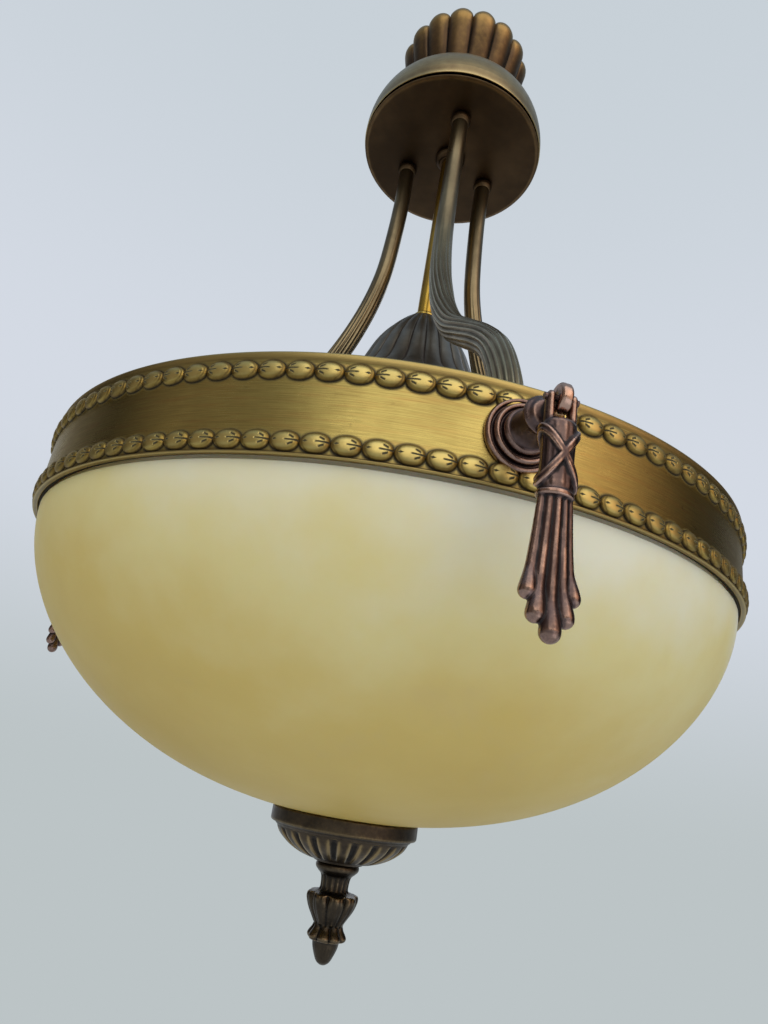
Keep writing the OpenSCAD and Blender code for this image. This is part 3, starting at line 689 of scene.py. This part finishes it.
def makeDisc():
    face, edge = disc["face"], disc["edge"]
    outline = [(0, face), (edge - disc["bevel"], face, 0.8), (edge - 0.6, face + 0.5, 0.5),
               (edge, face + 0.9, 0.3), (edge - 0.2, face + 1.3, 0.2), (edge - 4, face + 1.5, 0.1),
               (edge - 4, face + 3.6, 0.1), (edge - 3.2, face + 3.8, 0.1), (edge - 3.2, face + 5.4, 0.2),
               (0, face + 5.4)]
    obj = lathe("disc", eased(outline), 0.0, 224)
    smooth(obj, 50, 14, 0.3)
    dress(obj, "dark_bronze", "lamp", "dark_bronze", "canopy_disc")


collars = {"armSpread": 37.8, "armRadius": 8.0, "armHeight": 7.0, "tubeRadius": 6.2}


def makeCollars():
    r, h = collars["armRadius"], collars["armHeight"]
    outline = [(4.3, 0), (r - 1.6, 0, 0.2), (r - 0.3, -1.5, 0.8), (r, -3.2, 1.2), (r - 0.5, -5, 1.2),
               (r - 2, -h, 0.8), (4.3, -h)]
    first = lathe("armCollar", eased(outline, 0.4, 4), disc["face"]*mm, 64)
    smooth(first, 50, 8, 0.4)
    buttons = []
    for angle in bossAngles:
        button = copied(first, "armCollar")
        spot, out = math.radians(angle + armTurn), collars["armSpread"]*mm
        button.data.transform(Matrix.Translation((out*math.cos(spot), out*math.sin(spot), 0)))
        buttons.append(button)
    bpy.data.objects.remove(first)
    dress(joined("armCollars", *buttons), "dark_bronze", "lamp", "dark_bronze", "arm_collars")
    r = collars["tubeRadius"]
    outline = [(5.3, 0), (r + 5, 0, 0.3), (r + 5.8, -1.2, 0.6), (r + 5.8, -3, 0.8), (r + 4.6, -4.8, 0.8),
               (r + 2.6, -6, 0.6), (r + 2, -8, 0.4), (5.3, -8)]
    middle = lathe("centerCollar", eased(outline, 0.4, 4), disc["face"]*mm, 96)
    smooth(middle, 50, 8, 0.4)
    dress(middle, "dark_bronze", "lamp", "dark_bronze", "center_collar")


makeBell()
makeCup()
makeDisc()
makeCollars()
print("canopy made")


# Arms: three bent tubes whose flutes start under the canopy and twist round the elbow

arm = {"spread": collars["armSpread"], "foot": 188.0, "footHeight": -461.0, "rise": 346.0, "topRadius": 6.2,
       "bendRadius": 7.1, "footRadius": 6.4, "stub": 181.2, "stubLength": 20.9, "sides": 128, "flutes": 16,
       "fluteDepth": 0.8, "twist": 1.5, "rings": 170,
       "shape": ((0, 1), (-0.003, 0.9), (0.008, 0.784), (0.028, 0.693), (0.071, 0.614), (0.134, 0.54),
            (0.208, 0.474), (0.301, 0.404), (0.427, 0.334), (0.574, 0.281), (0.72, 0.23), (0.853, 0.174),
            (0.945, 0.11), (0.99, 0.052), (1, 0))}


def glide(t):
    t = min(1.0, max(0.0, t))
    return t*t*(3 - 2*t)


def through(shape, share):
    # a smooth curve through the named points
    spot = share*(len(shape) - 1)
    i = min(int(spot), len(shape) - 2)
    t = spot - i
    p = [np.array(shape[max(0, min(len(shape) - 1, i + j))], dtype=float) for j in (-1, 0, 1, 2)]
    return 0.5*(2*p[1] + (p[2] - p[0])*t + (2*p[0] - 5*p[1] + 4*p[2] - p[3])*t*t
                + (3*p[1] - p[0] - 3*p[2] + p[3])*t**3)


def makeArms():
    path, radii, tilts = [], [], []
    for i in range(arm["rings"]):
        share = i/(arm["rings"] - 1)
        out, up = through(arm["shape"], share)
        reach = arm["spread"] + (arm["foot"] - arm["spread"])*out
        spot = math.radians(armTurn*(1 - glide(out/0.75)))
        path.append((reach*mm*math.cos(spot), reach*mm*math.sin(spot),
                     (arm["footHeight"] + arm["rise"]*up)*mm))
        swell = (arm["bendRadius"] - arm["topRadius"])*glide(share/0.6)
        taper = (arm["footRadius"] - arm["bendRadius"])*glide((share - 0.6)/0.4)
        radii.append((arm["topRadius"] + swell + taper)*mm)
        tilts.append(-arm["twist"]*glide((share - 0.3)/0.6))
    tube = sweep("arm", path, radii, tilts, arm["sides"])
    count = arm["rings"]*arm["sides"]
    index = np.arange(len(tube.data.vertices))
    ring, side = index//arm["sides"], index % arm["sides"]
    share = np.clip(ring/(arm["rings"] - 1), 0, 1)
    valley = 0.5 - 0.5*np.cos(2*np.pi*side*arm["flutes"]/arm["sides"])
    strength = np.clip((share - 0.16)/0.3, 0, 1)
    strength = strength*strength*(3 - 2*strength)
    press(tube, np.where(index < count, valley*strength, 0), arm["fluteDepth"]*mm)
    end = arm["stubLength"]
    outline = [(0, 0), (6.0, 0.8, 2.4), (6.8, 3.0, 1.5), (6.8, end), (2.6, end), (2.6, 16), (0, 16)]
    stub = lathe("armFoot", eased(outline, 0.4, 5), 0.0, 64)
    place = Matrix.Translation((arm["stub"]*mm, 0, arm["footHeight"]*mm))
    stub.data.transform(place @ Matrix.Rotation(math.radians(90), 4, "Y"))
    whole = joined("arm_whole", tube, stub)
    faceOut(whole)
    smooth(whole, 60, 12, 0.6)
    threefold(whole, "armTube_#", "fluted_bronze", "lamp", "fluted_bronze", "arm_#")


makeArms()
print("arms made")


# Fluted dome over the lampholders, with the centre tube and its cap

dome = {"rim": 66.0, "base": -353.0, "top": -270.0, "flutes": 24, "depth": 1.9, "steps": 384,
        "shape": ((1, 0), (0.9, 0.1), (0.75, 0.22), (0.66, 0.34), (0.6, 0.46), (0.53, 0.6), (0.44, 0.73),
            (0.34, 0.84), (0.22, 0.95), (0.14, 1))}


def makeDome():
    outer = [through(dome["shape"], k/40) for k in range(41)]
    rise = dome["top"] - dome["base"]
    shell = [(r*dome["rim"], h*rise) for r, h in outer]
    inner = [(r*dome["rim"] - 3.4, h*rise - 1.2) for r, h in outer[34:0:-4]]
    outline = shell + [(5.6, rise), (5.6, rise - 2)] + inner + [(dome["rim"] - 3.8, 0)]
    obj = lathe("dome", outline, dome["base"]*mm, dome["steps"])
    angle, radius, height = around(obj)
    share = np.clip((height - dome["base"]*mm)/(rise*mm), 0, 1)
    edge = np.interp(share, [h for r, h in outer], [r for r, h in outer])*dome["rim"]*mm
    outside = (radius > edge - 0.6*mm) & (radius > 9*mm)
    depth = valleys(angle, dome["flutes"])*dome["depth"]*mm*np.clip(edge/(30*mm), 0.2, 1)
    carve(obj, radius, np.where(outside, depth, 0))
    smooth(obj, 60, 20, 0.9)
    dress(obj, "dome_bronze", "lamp", "fluted_bronze", "socket_dome")


def makeTube():
    low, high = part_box("center_tube")
    radius, foot, top = collars["tubeRadius"], low[2]/mm, high[2]/mm
    outline = [(5.3, foot), (radius, foot, 0.3), (radius, top, 0.3), (5.3, top)]
    obj = lathe("centerTube", eased(outline, 0.2), 0.0, 96)
    smooth(obj, 50, 6, 0.3)
    dress(obj, "tube_brass", "lamp", "tube_brass", "center_tube")
    low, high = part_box("dome_cap")
    base, rise = low[2]/mm, (high[2] - low[2])/mm
    outline = [(5.4, 0), (9.2, 0, 0.4), (9.2, rise*0.45, 1.0), (7.6, rise*0.8, 0.9), (6.9, rise, 0.3),
               (5.4, rise)]
    obj = lathe("domeCap", eased(outline, 0.3, 4), base*mm, 72)
    smooth(obj, 50, 6, 0.3)
    dress(obj, "tube_brass", "lamp", "tube_brass", "dome_cap")


makeDome()
makeTube()
print("dome and tube made")


# Band with its two bead mouldings

band = {"face": 203.4, "inner": 202.2, "lip": 200.0, "height": 43.9, "steps": 400}


def makeBand():
    f, top = band["face"], band["height"]
    outline = [(band["lip"], 1.0), (f - 1.9, 0.9, 0.2), (f - 1.3, 0.1, 0.2), (f + 0.9, 0, 0.3),
               (f + 1.2, 0.5, 0.3), (f + 0.9, 0.95, 0.3), (f + 0.15, 1.2, 0.2), (f, 1.6, 0.1),
               (f, 39.6, 0.3), (f + 0.35, 40.4, 0.5), (f + 0.8, 42.0, 0.5), (f + 0.7, 43.3, 0.4),
               (f + 0.1, top, 0.3), (band["inner"], top, 0.3), (band["inner"], 2.4, 0.4),
               (band["lip"], 2.4)]
    obj = lathe("band", eased(outline, 0.2), bandBase, band["steps"])
    smooth(obj, 40, 10, 0.16)
    dress(obj, "band_brass", "lamp", "band_brass", "ring_band")


# a row leaves out each bead that is nearer than "clear" to a boss's middle
bead = {"length": 11.5, "lift": 2.35, "radius": band["face"], "clear": 12.8,
        "rows": (("beadsUpper", beadRows[1], -1, "bead_row_upper"),
                 ("beadsLower", beadRows[0], 1, "bead_row_lower"))}


def makeBeads(name, level, way, node):
    one = ball(name, 16, 12, radius=1.0)
    place = points(one)
    # the sphere's poles go along the band, and the back half is left off
    along, across, lift = place[:, 2].copy(), place[:, 0].copy(), place[:, 1].copy()
    spots = one.data.attributes.new("beadPlace", "FLOAT_VECTOR", "POINT")
    spots.data.foreach_set("vector", np.stack([along, across, lift], 1).ravel())
    blunt = np.sign(along)*np.abs(along)**0.9*bead["length"]/2*mm*way
    crown = np.sign(lift)*np.abs(lift)**0.66*bead["lift"]*mm
    setPoints(one, np.stack([blunt, crown, across*beadHeight/2*mm*(1 - 0.07*along)], 1))
    half = dict(plane_co=(0, -0.05*mm, 0), plane_no=(0, -1, 0), clear_outer=True, use_fill=False)
    editAll(one, (bpy.ops.mesh.bisect, half))
    faceOut(one)
    one.data.transform(Matrix.Translation((0, bead["radius"]*mm, bandBase + level*mm)))
    one.data.transform(Matrix.Rotation(math.radians(-90), 4, "Z"))
    smooth(one, 80)
    beads = []
    for k in range(beadCount):
        angle = -90 + (k + 0.5)*360/beadCount
        near = min(abs((angle - a + 180) % 360 - 180) for a in bossAngles)
        if math.hypot(math.radians(near)*bead["radius"], level - bossHeight) >= bead["clear"]:
            beads.append(turned(copied(one, "%s_%d" % (name, k)), angle))
    bpy.data.objects.remove(one)
    dress(joined(name, *beads), "beadFinish", "lamp", "bead_brass", node)


makeBand()
for row in bead["rows"]:
    makeBeads(*row)
print("band and beads made")


# Glass bowl, whose side is a superellipse of the powers p and q

bowl = {"radius": 200.8, "neck": 198.6, "neckHeight": 10.0, "wall": 4.0, "p": 1.763, "q": 2.19, "floor": 13.5,
        "hole": 5.75}


def makeBowl():
    radius, wall, neck, rim = bowl["radius"], bowl["wall"], bowl["neck"], bowl["neckHeight"]
    floor, hole, low = bowl["floor"], bowl["hole"], -bowlDepth

    def side(radius, depth, count, start):
        spots = []
        for k in range(count + 1):
            share = math.radians(90*k/count)
            out, up = radius*math.cos(share)**(2/bowl["q"]), -depth*math.sin(share)**(2/bowl["p"])
            if up < start and out > floor + 1:
                spots.append((out, up, 0))
        return spots

    outer = side(radius, bowlDepth, 110, -0.5)
    inner = side(radius - wall, bowlDepth - wall, 90, -6)
    outline = [(neck - wall, rim), (neck, rim), (neck, -0.3), (radius - 0.7, -0.3), *outer, (floor, low),
               (hole, low), (hole, low + wall), (floor, low + wall), *inner[::-1], (neck - wall, -5)]
    obj = lathe("glassBowl", eased(outline, 0.5, 2), bandBase, 256)
    smooth(obj, 40)
    dress(obj, "satin_glass", "bowl", "satin_glass", "glass_bowl")


makeBowl()
print("bowl made")


# Finial plate with gadroons, and the finial under it

plate = {"radius": 41.4, "height": 21.0, "rim": 7.8, "top": -612.5, "gadroons": 20, "depth": 1.7,
         "steps": 320}


def makePlate():
    top = (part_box("finial_plate")[1][2] - plate["top"]*mm)/mm
    r, h, lower = plate["radius"], plate["height"], top - plate["rim"]
    outline = [(5.3, 0), (24, 0), (r - 6, top - 2.4, 2), (r - 1.4, top - 0.3, 0.4), (r - 0.4, top, 0.3),
               (r, top - 0.6, 0.4), (r, lower + 0.7, 0.5), (r - 0.6, lower, 0.3),
               (r - 2.6, lower - 0.5, 0.5), (r - 3.3, lower - 1.6, 0.5)]
    belly = [(0.905, 0.0), (0.88, 0.16), (0.83, 0.34), (0.72, 0.58), (0.58, 0.78), (0.46, 0.89)]
    for k in range(1, 41):
        share, fall = through(belly, k/40)
        outline.append((r*share, lower - 1.6 - (h + lower - 1.6)*fall, 0.05))
    outline += [(r*0.36, -h + 1.6, 0.4), (r*0.33, -h, 0.3), (5.3, -h)]
    obj = lathe("finialPlate", eased(outline), plate["top"]*mm, plate["steps"])
    angle, radius, height = around(obj)
    below = (height < (plate["top"] + lower - 2.6)*mm) & (radius > r*0.43*mm) & (radius < r*0.93*mm)
    fade = np.clip((r*0.92*mm - radius)/(2.4*mm), 0, 1)*np.clip((radius - r*0.5*mm)/(5*mm), 0, 1)
    slot = np.clip(1.35*(np.cos(np.radians(angle*plate["gadroons"])) - 0.25), 0, 1)**0.8
    press(obj, np.where(below, slot*fade, 0), plate["depth"]*mm)
    smooth(obj, 50, 16, 0.45)
    dress(obj, "plate_bronze", "bowl", "dark_bronze", "finial_plate")


finial = {"radius": 14.4, "height": 49.5, "top": -633.5, "bore": 5.05, "grip": 18.0, "leaves": 8,
          "voxel": 0.31, "tips": ((0.337, 12.3, (1.9, 2.7, 1.3), 0.0), (0.728, 9.0, (1.7, 2.3, 1.2), 0.5)),
          "shape": ((0.75, 0), (0.83, 0.025), (0.83, 0.064), (0.72, 0.1), (0.6, 0.133), (0.555, 0.192),
            (0.555, 0.27), (0.66, 0.296), (0.93, 0.31), (1, 0.343), (0.97, 0.396), (0.85, 0.475),
            (0.68, 0.553), (0.58, 0.606), (0.6, 0.646), (0.71, 0.694), (0.75, 0.726), (0.68, 0.756),
            (0.52, 0.768), (0.47, 0.828), (0.375, 0.9), (0.25, 0.965), (0.11, 0.994))}


def makeFinial():
    r, h = finial["radius"], finial["height"]
    curve = [through(finial["shape"], k/150) for k in range(151)]
    outline = [(finial["bore"], 0), *[(a*r, -b*h) for a, b in curve], (0, -h), (0, -finial["grip"]),
               (finial["bore"], -finial["grip"])]
    obj = lathe("finial_turned", outline, finial["top"]*mm, 192)
    angle, radius, height = around(obj)
    share = (finial["top"]*mm - height)/(h*mm)
    inside = radius < finial["bore"]*1.02*mm
    turn = np.radians(angle)
    leaf = np.abs(np.cos(turn*finial["leaves"]/2))
    rib = np.abs(np.cos(turn*finial["leaves"]*3/2))

    def zone(low, high, soft):
        return np.clip((share - low)/soft, 0, 1)*np.clip((high - share)/soft, 0, 1)

    neck = zone(0.12, 0.3, 0.02)*(0.5 - 0.5*np.cos(turn*finial["leaves"]*2))
    swell = 1.5 + 1.6*np.exp(-((share - 0.34)/0.05)**2)
    cups = zone(0.3, 0.62, 0.02)*((1 - leaf**0.5)*swell + (1 - rib**0.6)*0.4)
    curls = zone(0.6, 0.765, 0.02)*((1 - np.abs(np.sin(turn*finial["leaves"]/2))**0.6)*1.6)
    cone = zone(0.78, 0.97, 0.05)*(1 - rib**0.7)*0.22
    carve(obj, radius, np.where(inside, 0, 0.55*neck + 1.1*cups + 1.5*curls + 1.0*cone)*mm)
    # rolled leaf tips at the top of the cup and round the cone
    rolls = []
    for share, out, size, shift in finial["tips"]:
        for k in range(finial["leaves"]):
            spot = 2*math.pi*(k + shift)/finial["leaves"]
            place = (out*mm*math.cos(spot), out*mm*math.sin(spot), (finial["top"] - share*h)*mm)
            rolls.append(ball("roll", 20, 12, radius=mm, scale=size, rotation=(0, 0.45, spot),
                              location=place))
    obj = joined("finial_cast", obj, *rolls)
    apply(obj, "REMESH", mode="VOXEL", voxel_size=finial["voxel"]*mm, use_smooth_shade=True)
    apply(obj, "SMOOTH", factor=0.5, iterations=2)
    smooth(obj, 60, 8, 0.24, 1.5)
    dress(obj, "finial_bronze", "finial_body", "dark_bronze", "finial")


makePlate()
makeFinial()
print("plate and finial made")


# Bosses, each with the lug that carries a tassel

boss = {"back": 203.5, "pinOut": 29.9, "lug": 4.2, "lugRadius": 5.6, "drill": 1.27,
        "profile": ((0, 0), (15, 0, 0.3), (15, 1.5, 0.6), (14.3, 2.6, 0.7), (13.4, 2.6, 0.6),
            (12.8, 1.3, 0.4), (12.3, 1.3, 0.3), (12.1, 3.4, 0.6), (11.4, 4.5, 0.7), (10.4, 4.4, 0.6),
            (9.9, 3.0, 0.4), (9.4, 3.0, 0.3), (9.2, 5.2, 0.6), (8.6, 6.5, 0.8), (7.7, 6.8, 0.8),
            (7.0, 8.6, 1.2), (6.3, 11.5, 2), (5.9, 14.5, 1), (6.1, 16.0, 0.6), (7.3, 16.9, 0.3),
            (7.7, 17.4, 0.25), (7.7, 18.1, 0.25), (7.0, 18.7, 0.3), (6.0, 19.3, 0.6), (5, 20.5, 0.8),
            (0, 20.8))}


def makeBosses():
    knob = lathe("bossKnob", eased(boss["profile"], 0.3, 4), 0.0, 144)
    knob.data.transform(Matrix.Rotation(math.radians(90), 4, "Y"))
    pin = dict(location=(boss["pinOut"]*mm, 0, 0), rotation=(math.pi/2, 0, 0))
    corners = dict(limit_method="ANGLE", angle_limit=math.radians(40))
    head = drum("lugHead", 72, radius=boss["lugRadius"]*mm, depth=boss["lug"]*mm, **pin)
    apply(head, "BEVEL", width=1.3*mm, segments=5, **corners)
    combine(head, added("lugBar", bpy.ops.mesh.primitive_cube_add, size=1, location=(24*mm, 0, 0),
                        scale=(12*mm, boss["lug"]*0.8*mm, 8.2*mm)))
    combine(head, drum("drill", 48, radius=boss["drill"]*mm, depth=8*mm, **pin), "DIFFERENCE")
    apply(head, "BEVEL", width=0.3*mm, segments=3, **corners)
    combine(head, knob)
    head.data.transform(Matrix.Translation((boss["back"]*mm, 0, bandBase + bossHeight*mm)))
    smooth(head, 40, 8, 0.26, 1.5)
    threefold(head, "bossCast_#", "copper_bronze", "lamp", "copper_bronze", "boss_#")


# Tassels, drawn about the pin: X points out of the lamp, Y along the band

# a rod: its start and end along the band, its lowest point, how far out it lies and its end's radius
tassel = {"forkGap": 4.8, "forkWidth": 3.1, "flat": 0.8, "voxel": 0.34, "rodTop": -34.6,
          "cord": {"out": 6.2, "height": -21.4, "swing": 9.3, "apart": 0.85, "radius": 0.9},
          "rods": ((-4.5, -7.2, -66.0, 0.6, 2.75), (-2.4, -4.7, -72.6, 1.8, 2.95),
            (0.0, 0.0, -77.4, 2.5, 3.35), (2.4, 4.7, -72.6, 1.8, 2.95), (4.5, 7.2, -66.0, 0.6, 2.75))}


def makeTassels():
    pieces = []
    for side in (-1, 1):
        middle = side*(tassel["forkGap"] + tassel["forkWidth"])/2*mm
        half = tassel["forkWidth"]/2
        pieces.append(ball("forkTop", 32, 16, radius=mm, location=(0, middle, 0), scale=(2.4, half, 2.3)))
        pieces.append(drum("forkPost", 32, radius=mm, depth=10.5*mm, location=(0, middle, -5.2*mm),
                           scale=(2.2, half, 1)))
    outline = [(0, -8.0), (4.2, -8.1, 1.0), (5.5, -9.2, 1.2), (5.95, -11.4, 1.5), (5.85, -14.5, 3),
               (5.6, -21), (5.75, -28, 3), (5.9, -31.4, 1), (5.5, -33.0, 0.3), (6.2, -33.5, 0.6),
               (6.3, -34.4, 0.6), (6.0, -35.3, 0.5), (3.6, -35.7, 0.4), (3.2, -40), (0, -40)]
    body = lathe("barrel", eased(outline, 0.5, 4), 0.0, 120)
    angle, radius, height = around(body)
    pleat = (0.5 - 0.5*np.cos(np.radians(angle*13)))**1.5
    press(body, np.where((height < -10*mm) & (height > -32.5*mm) & (radius > 5*mm), pleat, 0), 0.22*mm)
    body.data.transform(Matrix.Diagonal((tassel["flat"], 1, 1, 1)))
    pieces.append(body)
    cord, high = tassel["cord"], tassel["rodTop"]
    for way in (-1, 1):
        for side in (-1, 1):
            path = []
            for k in range(97):
                spot = 2*math.pi*k/96
                height = cord["height"] + cord["swing"]*way*math.sin(spot) + cord["apart"]*side
                path.append((cord["out"]*tassel["flat"]*math.cos(spot)*mm, cord["out"]*math.sin(spot)*mm,
                             height*mm))
            pieces.append(sweep("cord", path, [cord["radius"]*mm]*97, None, 12))
    for start, across, low, out, end in tassel["rods"]:
        path, radii = [], []
        for k in range(49):
            t = k/48
            spread = 0.6*t + 0.4*t**4
            bulge = out + 0.9*glide((t - 0.75)/0.25) - 0.5*glide(t/0.7)
            path.append((bulge*mm, (start + (across - start)*spread)*mm, (high + (low - high)*t)*mm))
            radii.append((1.3 + 0.7*t + (end - 2.0)*glide((t - 0.74)/0.26))*mm)
        pieces.append(sweep("rod", path, radii))
        pieces.append(ball("rodEnd", 24, 16, radius=end*mm, location=path[-1], scale=(0.95, 1.0, 1.0)))
    # web behind the rods
    web = drum("web", 48, radius=1.0, depth=1.0)
    place = points(web)
    top = place[:, 2] > 0
    place[:, 0] = place[:, 0]*np.where(top, 2.9, 2.2)*mm - 0.3*mm
    place[:, 1] = place[:, 1]*np.where(top, 4.8, 6.6)*mm
    place[:, 2] = np.where(top, -35*mm, -66*mm)
    setPoints(web, place)
    pieces.append(web)
    cast = joined("tasselCast", *pieces)
    apply(cast, "REMESH", mode="VOXEL", voxel_size=tassel["voxel"]*mm, use_smooth_shade=True)
    apply(cast, "SMOOTH", factor=0.5, iterations=2)
    cast.data.transform(Matrix.Translation(((boss["back"] + boss["pinOut"])*mm, 0, bandBase + bossHeight*mm)))
    smooth(cast, 75, 8, 0.24, 1.4)
    threefold(cast, "tasselCast_#", "copper_bronze", "tassel_#_body", "copper_bronze", "tassel_#")


makeBosses()
makeTassels()
print("bosses and tassels made")


# The frame's own pieces that stay: fixings, rod, nuts, plate, lampholders, washers

stays = {
    "steel": ("ceiling_bar", "rod_nuts", "arm_nuts", "arm_washers", "nipple_nuts", "boss_studs",
              "bowl_washer"),
    "copper_bronze": ("tassel_pin_1", "tassel_pin_2", "tassel_pin_3"),
    "bare_brass": ("earth_screw", "threaded_rod", "bell_washer", "holder_nipples", "lamp_plate",
                   "screw_shell_1", "screw_shell_2", "screw_shell_3", "center_contacts"),
    "terminal_plastic": ("terminal_block",),
    "porcelain": ("lampholder_1", "lampholder_2", "lampholder_3"),
    "washer_rubber": ("bowl_gasket",),
}
for finish, names in stays.items():
    for name in names:
        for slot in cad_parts[name].material_slots:
            slot.material = finishes[finish]
print("frame pieces dressed")


# Room: pale floor, soft lamps, pale sky behind the lamp and a dim room behind the camera

room = {"floor": -1.5, "floorColour": (214, 216, 220), "fleck": (204, 206, 211), "high": (199, 208, 215),
        "middle": (212, 218, 228), "low": (188, 196, 198), "overhead": (138, 154, 168),
        "soft": (214, 217, 222), "fill": 0.86, "shine": 1.15,
        "mirrored": ((0.0, (122, 112, 102)), (0.08, (120, 112, 102)), (0.13, (112, 107, 96)),
            (0.19, (166, 162, 148)), (0.26, (108, 102, 86)), (0.33, (230, 204, 178)),
            (0.39, (246, 210, 182)), (0.42, (150, 122, 100)), (0.445, (34, 30, 28)), (0.52, (20, 19, 19)),
            (0.55, (70, 70, 72)), (0.62, (122, 124, 128)), (0.7, (186, 194, 204)), (0.8, (186, 194, 204)),
            (0.85, (132, 130, 128)), (0.9, (98, 94, 88)), (0.925, (30, 26, 24)), (0.965, (24, 21, 19)),
            (1.0, (122, 112, 102)))}


def makeRoom():
    floor = added("floor", bpy.ops.mesh.primitive_plane_add, size=14, location=(0, 0, room["floor"]))
    paint = Finish("floorPaint", Metallic=0.0)
    fleck = paint.noise(3, 3, 0.5)
    paint.feed(Base_Color=paint.mix(fleck*0.3, room["floorColour"], room["fleck"]),
               Roughness=0.6 + fleck*0.1)
    # the floor fades into the backdrop far from the lamp
    glow = paint.node("ShaderNodeEmission", None, Color=tint(room["low"]), Strength=1.0)["Emission"]
    x, y = paint.axes()[:2]
    away = ((x*x + y*y)**0.5).ease(0.8, 2.0)
    path = paint.node("ShaderNodeLightPath")
    seen = path["Is Camera Ray"].most(path["Is Glossy Ray"]).most(path["Is Transmission Ray"])
    share = seen*(away*0.4 + 0.6)
    both = paint.blend(share, Sock(paint.tree, paint.shader.outputs[0]), glow)
    paint.tree.links.new(both.socket, paint.tree.nodes["Material Output"].inputs["Surface"])
    floor.data.materials.append(paint.material)
    world = bpy.data.worlds.new("room")
    bpy.context.scene.world = world
    world.use_nodes = True
    world.node_tree.nodes.clear()
    sky = Finish.__new__(Finish)
    sky.tree = world.node_tree
    way = sky.node("ShaderNodeTexCoord")["Generated"]
    x, y, z = sky.axes(way)
    backdrop = sky.mix(z.ease(-0.06, 0.36), room["low"], room["middle"])
    backdrop = sky.mix(z.ease(0.4, 0.9), backdrop, room["high"])
    # what the metal sees round it: warm light right of the front, dark gaps at the sides, a pale wall behind
    bearing = x.math("ARCTAN2", y, x)*(1/(2*math.pi)) + 0.5
    seen = sky.node("ShaderNodeValToRGB", {"stops": room["mirrored"]}, Fac=bearing)["Color"]
    seen = sky.mix(z.ease(0.5, 0.85), seen, room["overhead"])
    path = sky.node("ShaderNodeLightPath")

    def backed(colour, strength):
        return sky.node("ShaderNodeBackground", None, Color=colour, Strength=strength)["Background"]

    plain = backed(backdrop, 1.0)
    mirror = backed(seen, room["shine"])
    soft = backed(tint(room["soft"]), room["fill"])
    mixed = sky.blend(path["Is Glossy Ray"], soft, mirror)
    clear = path["Is Camera Ray"].most(path["Is Transmission Ray"])
    sky.node("ShaderNodeOutputWorld", None, Surface=sky.blend(clear, mixed, plain))


lamps = (
    {"name": "keySoftbox", "angle": -92, "rise": 33, "away": 1.7, "size": (2.0, 2.0), "power": 12.5,
     "colour": (255, 249, 238)},
    {"name": "backFill", "angle": 62, "rise": 30, "away": 1.9, "size": (1.4, 1.2), "power": 6,
     "colour": (238, 244, 255)},
    {"name": "lowFill", "angle": -60, "rise": -28, "away": 1.8, "size": (1.6, 0.9), "power": 2.5,
     "colour": (250, 250, 255)},
)


def makeLamps():
    aim = Vector((0, 0, -0.42))
    for lamp in lamps:
        data = bpy.data.lights.new(lamp["name"], "AREA")
        data.shape = "RECTANGLE"
        data.size, data.size_y = lamp["size"]
        data.energy = lamp["power"]
        data.color = tint(lamp["colour"])[:3]
        flat, rise = math.radians(lamp["angle"]), math.radians(lamp["rise"])
        way = Vector((math.cos(flat)*math.cos(rise), math.sin(flat)*math.cos(rise), math.sin(rise)))
        light = bpy.data.objects.new(lamp["name"], data)
        light.location = aim + way*lamp["away"]
        light.rotation_euler = way.to_track_quat("Z", "Y").to_euler()
        bpy.context.scene.collection.objects.link(light)


makeRoom()
makeLamps()

bpy.context.scene.view_settings.view_transform = "Standard"
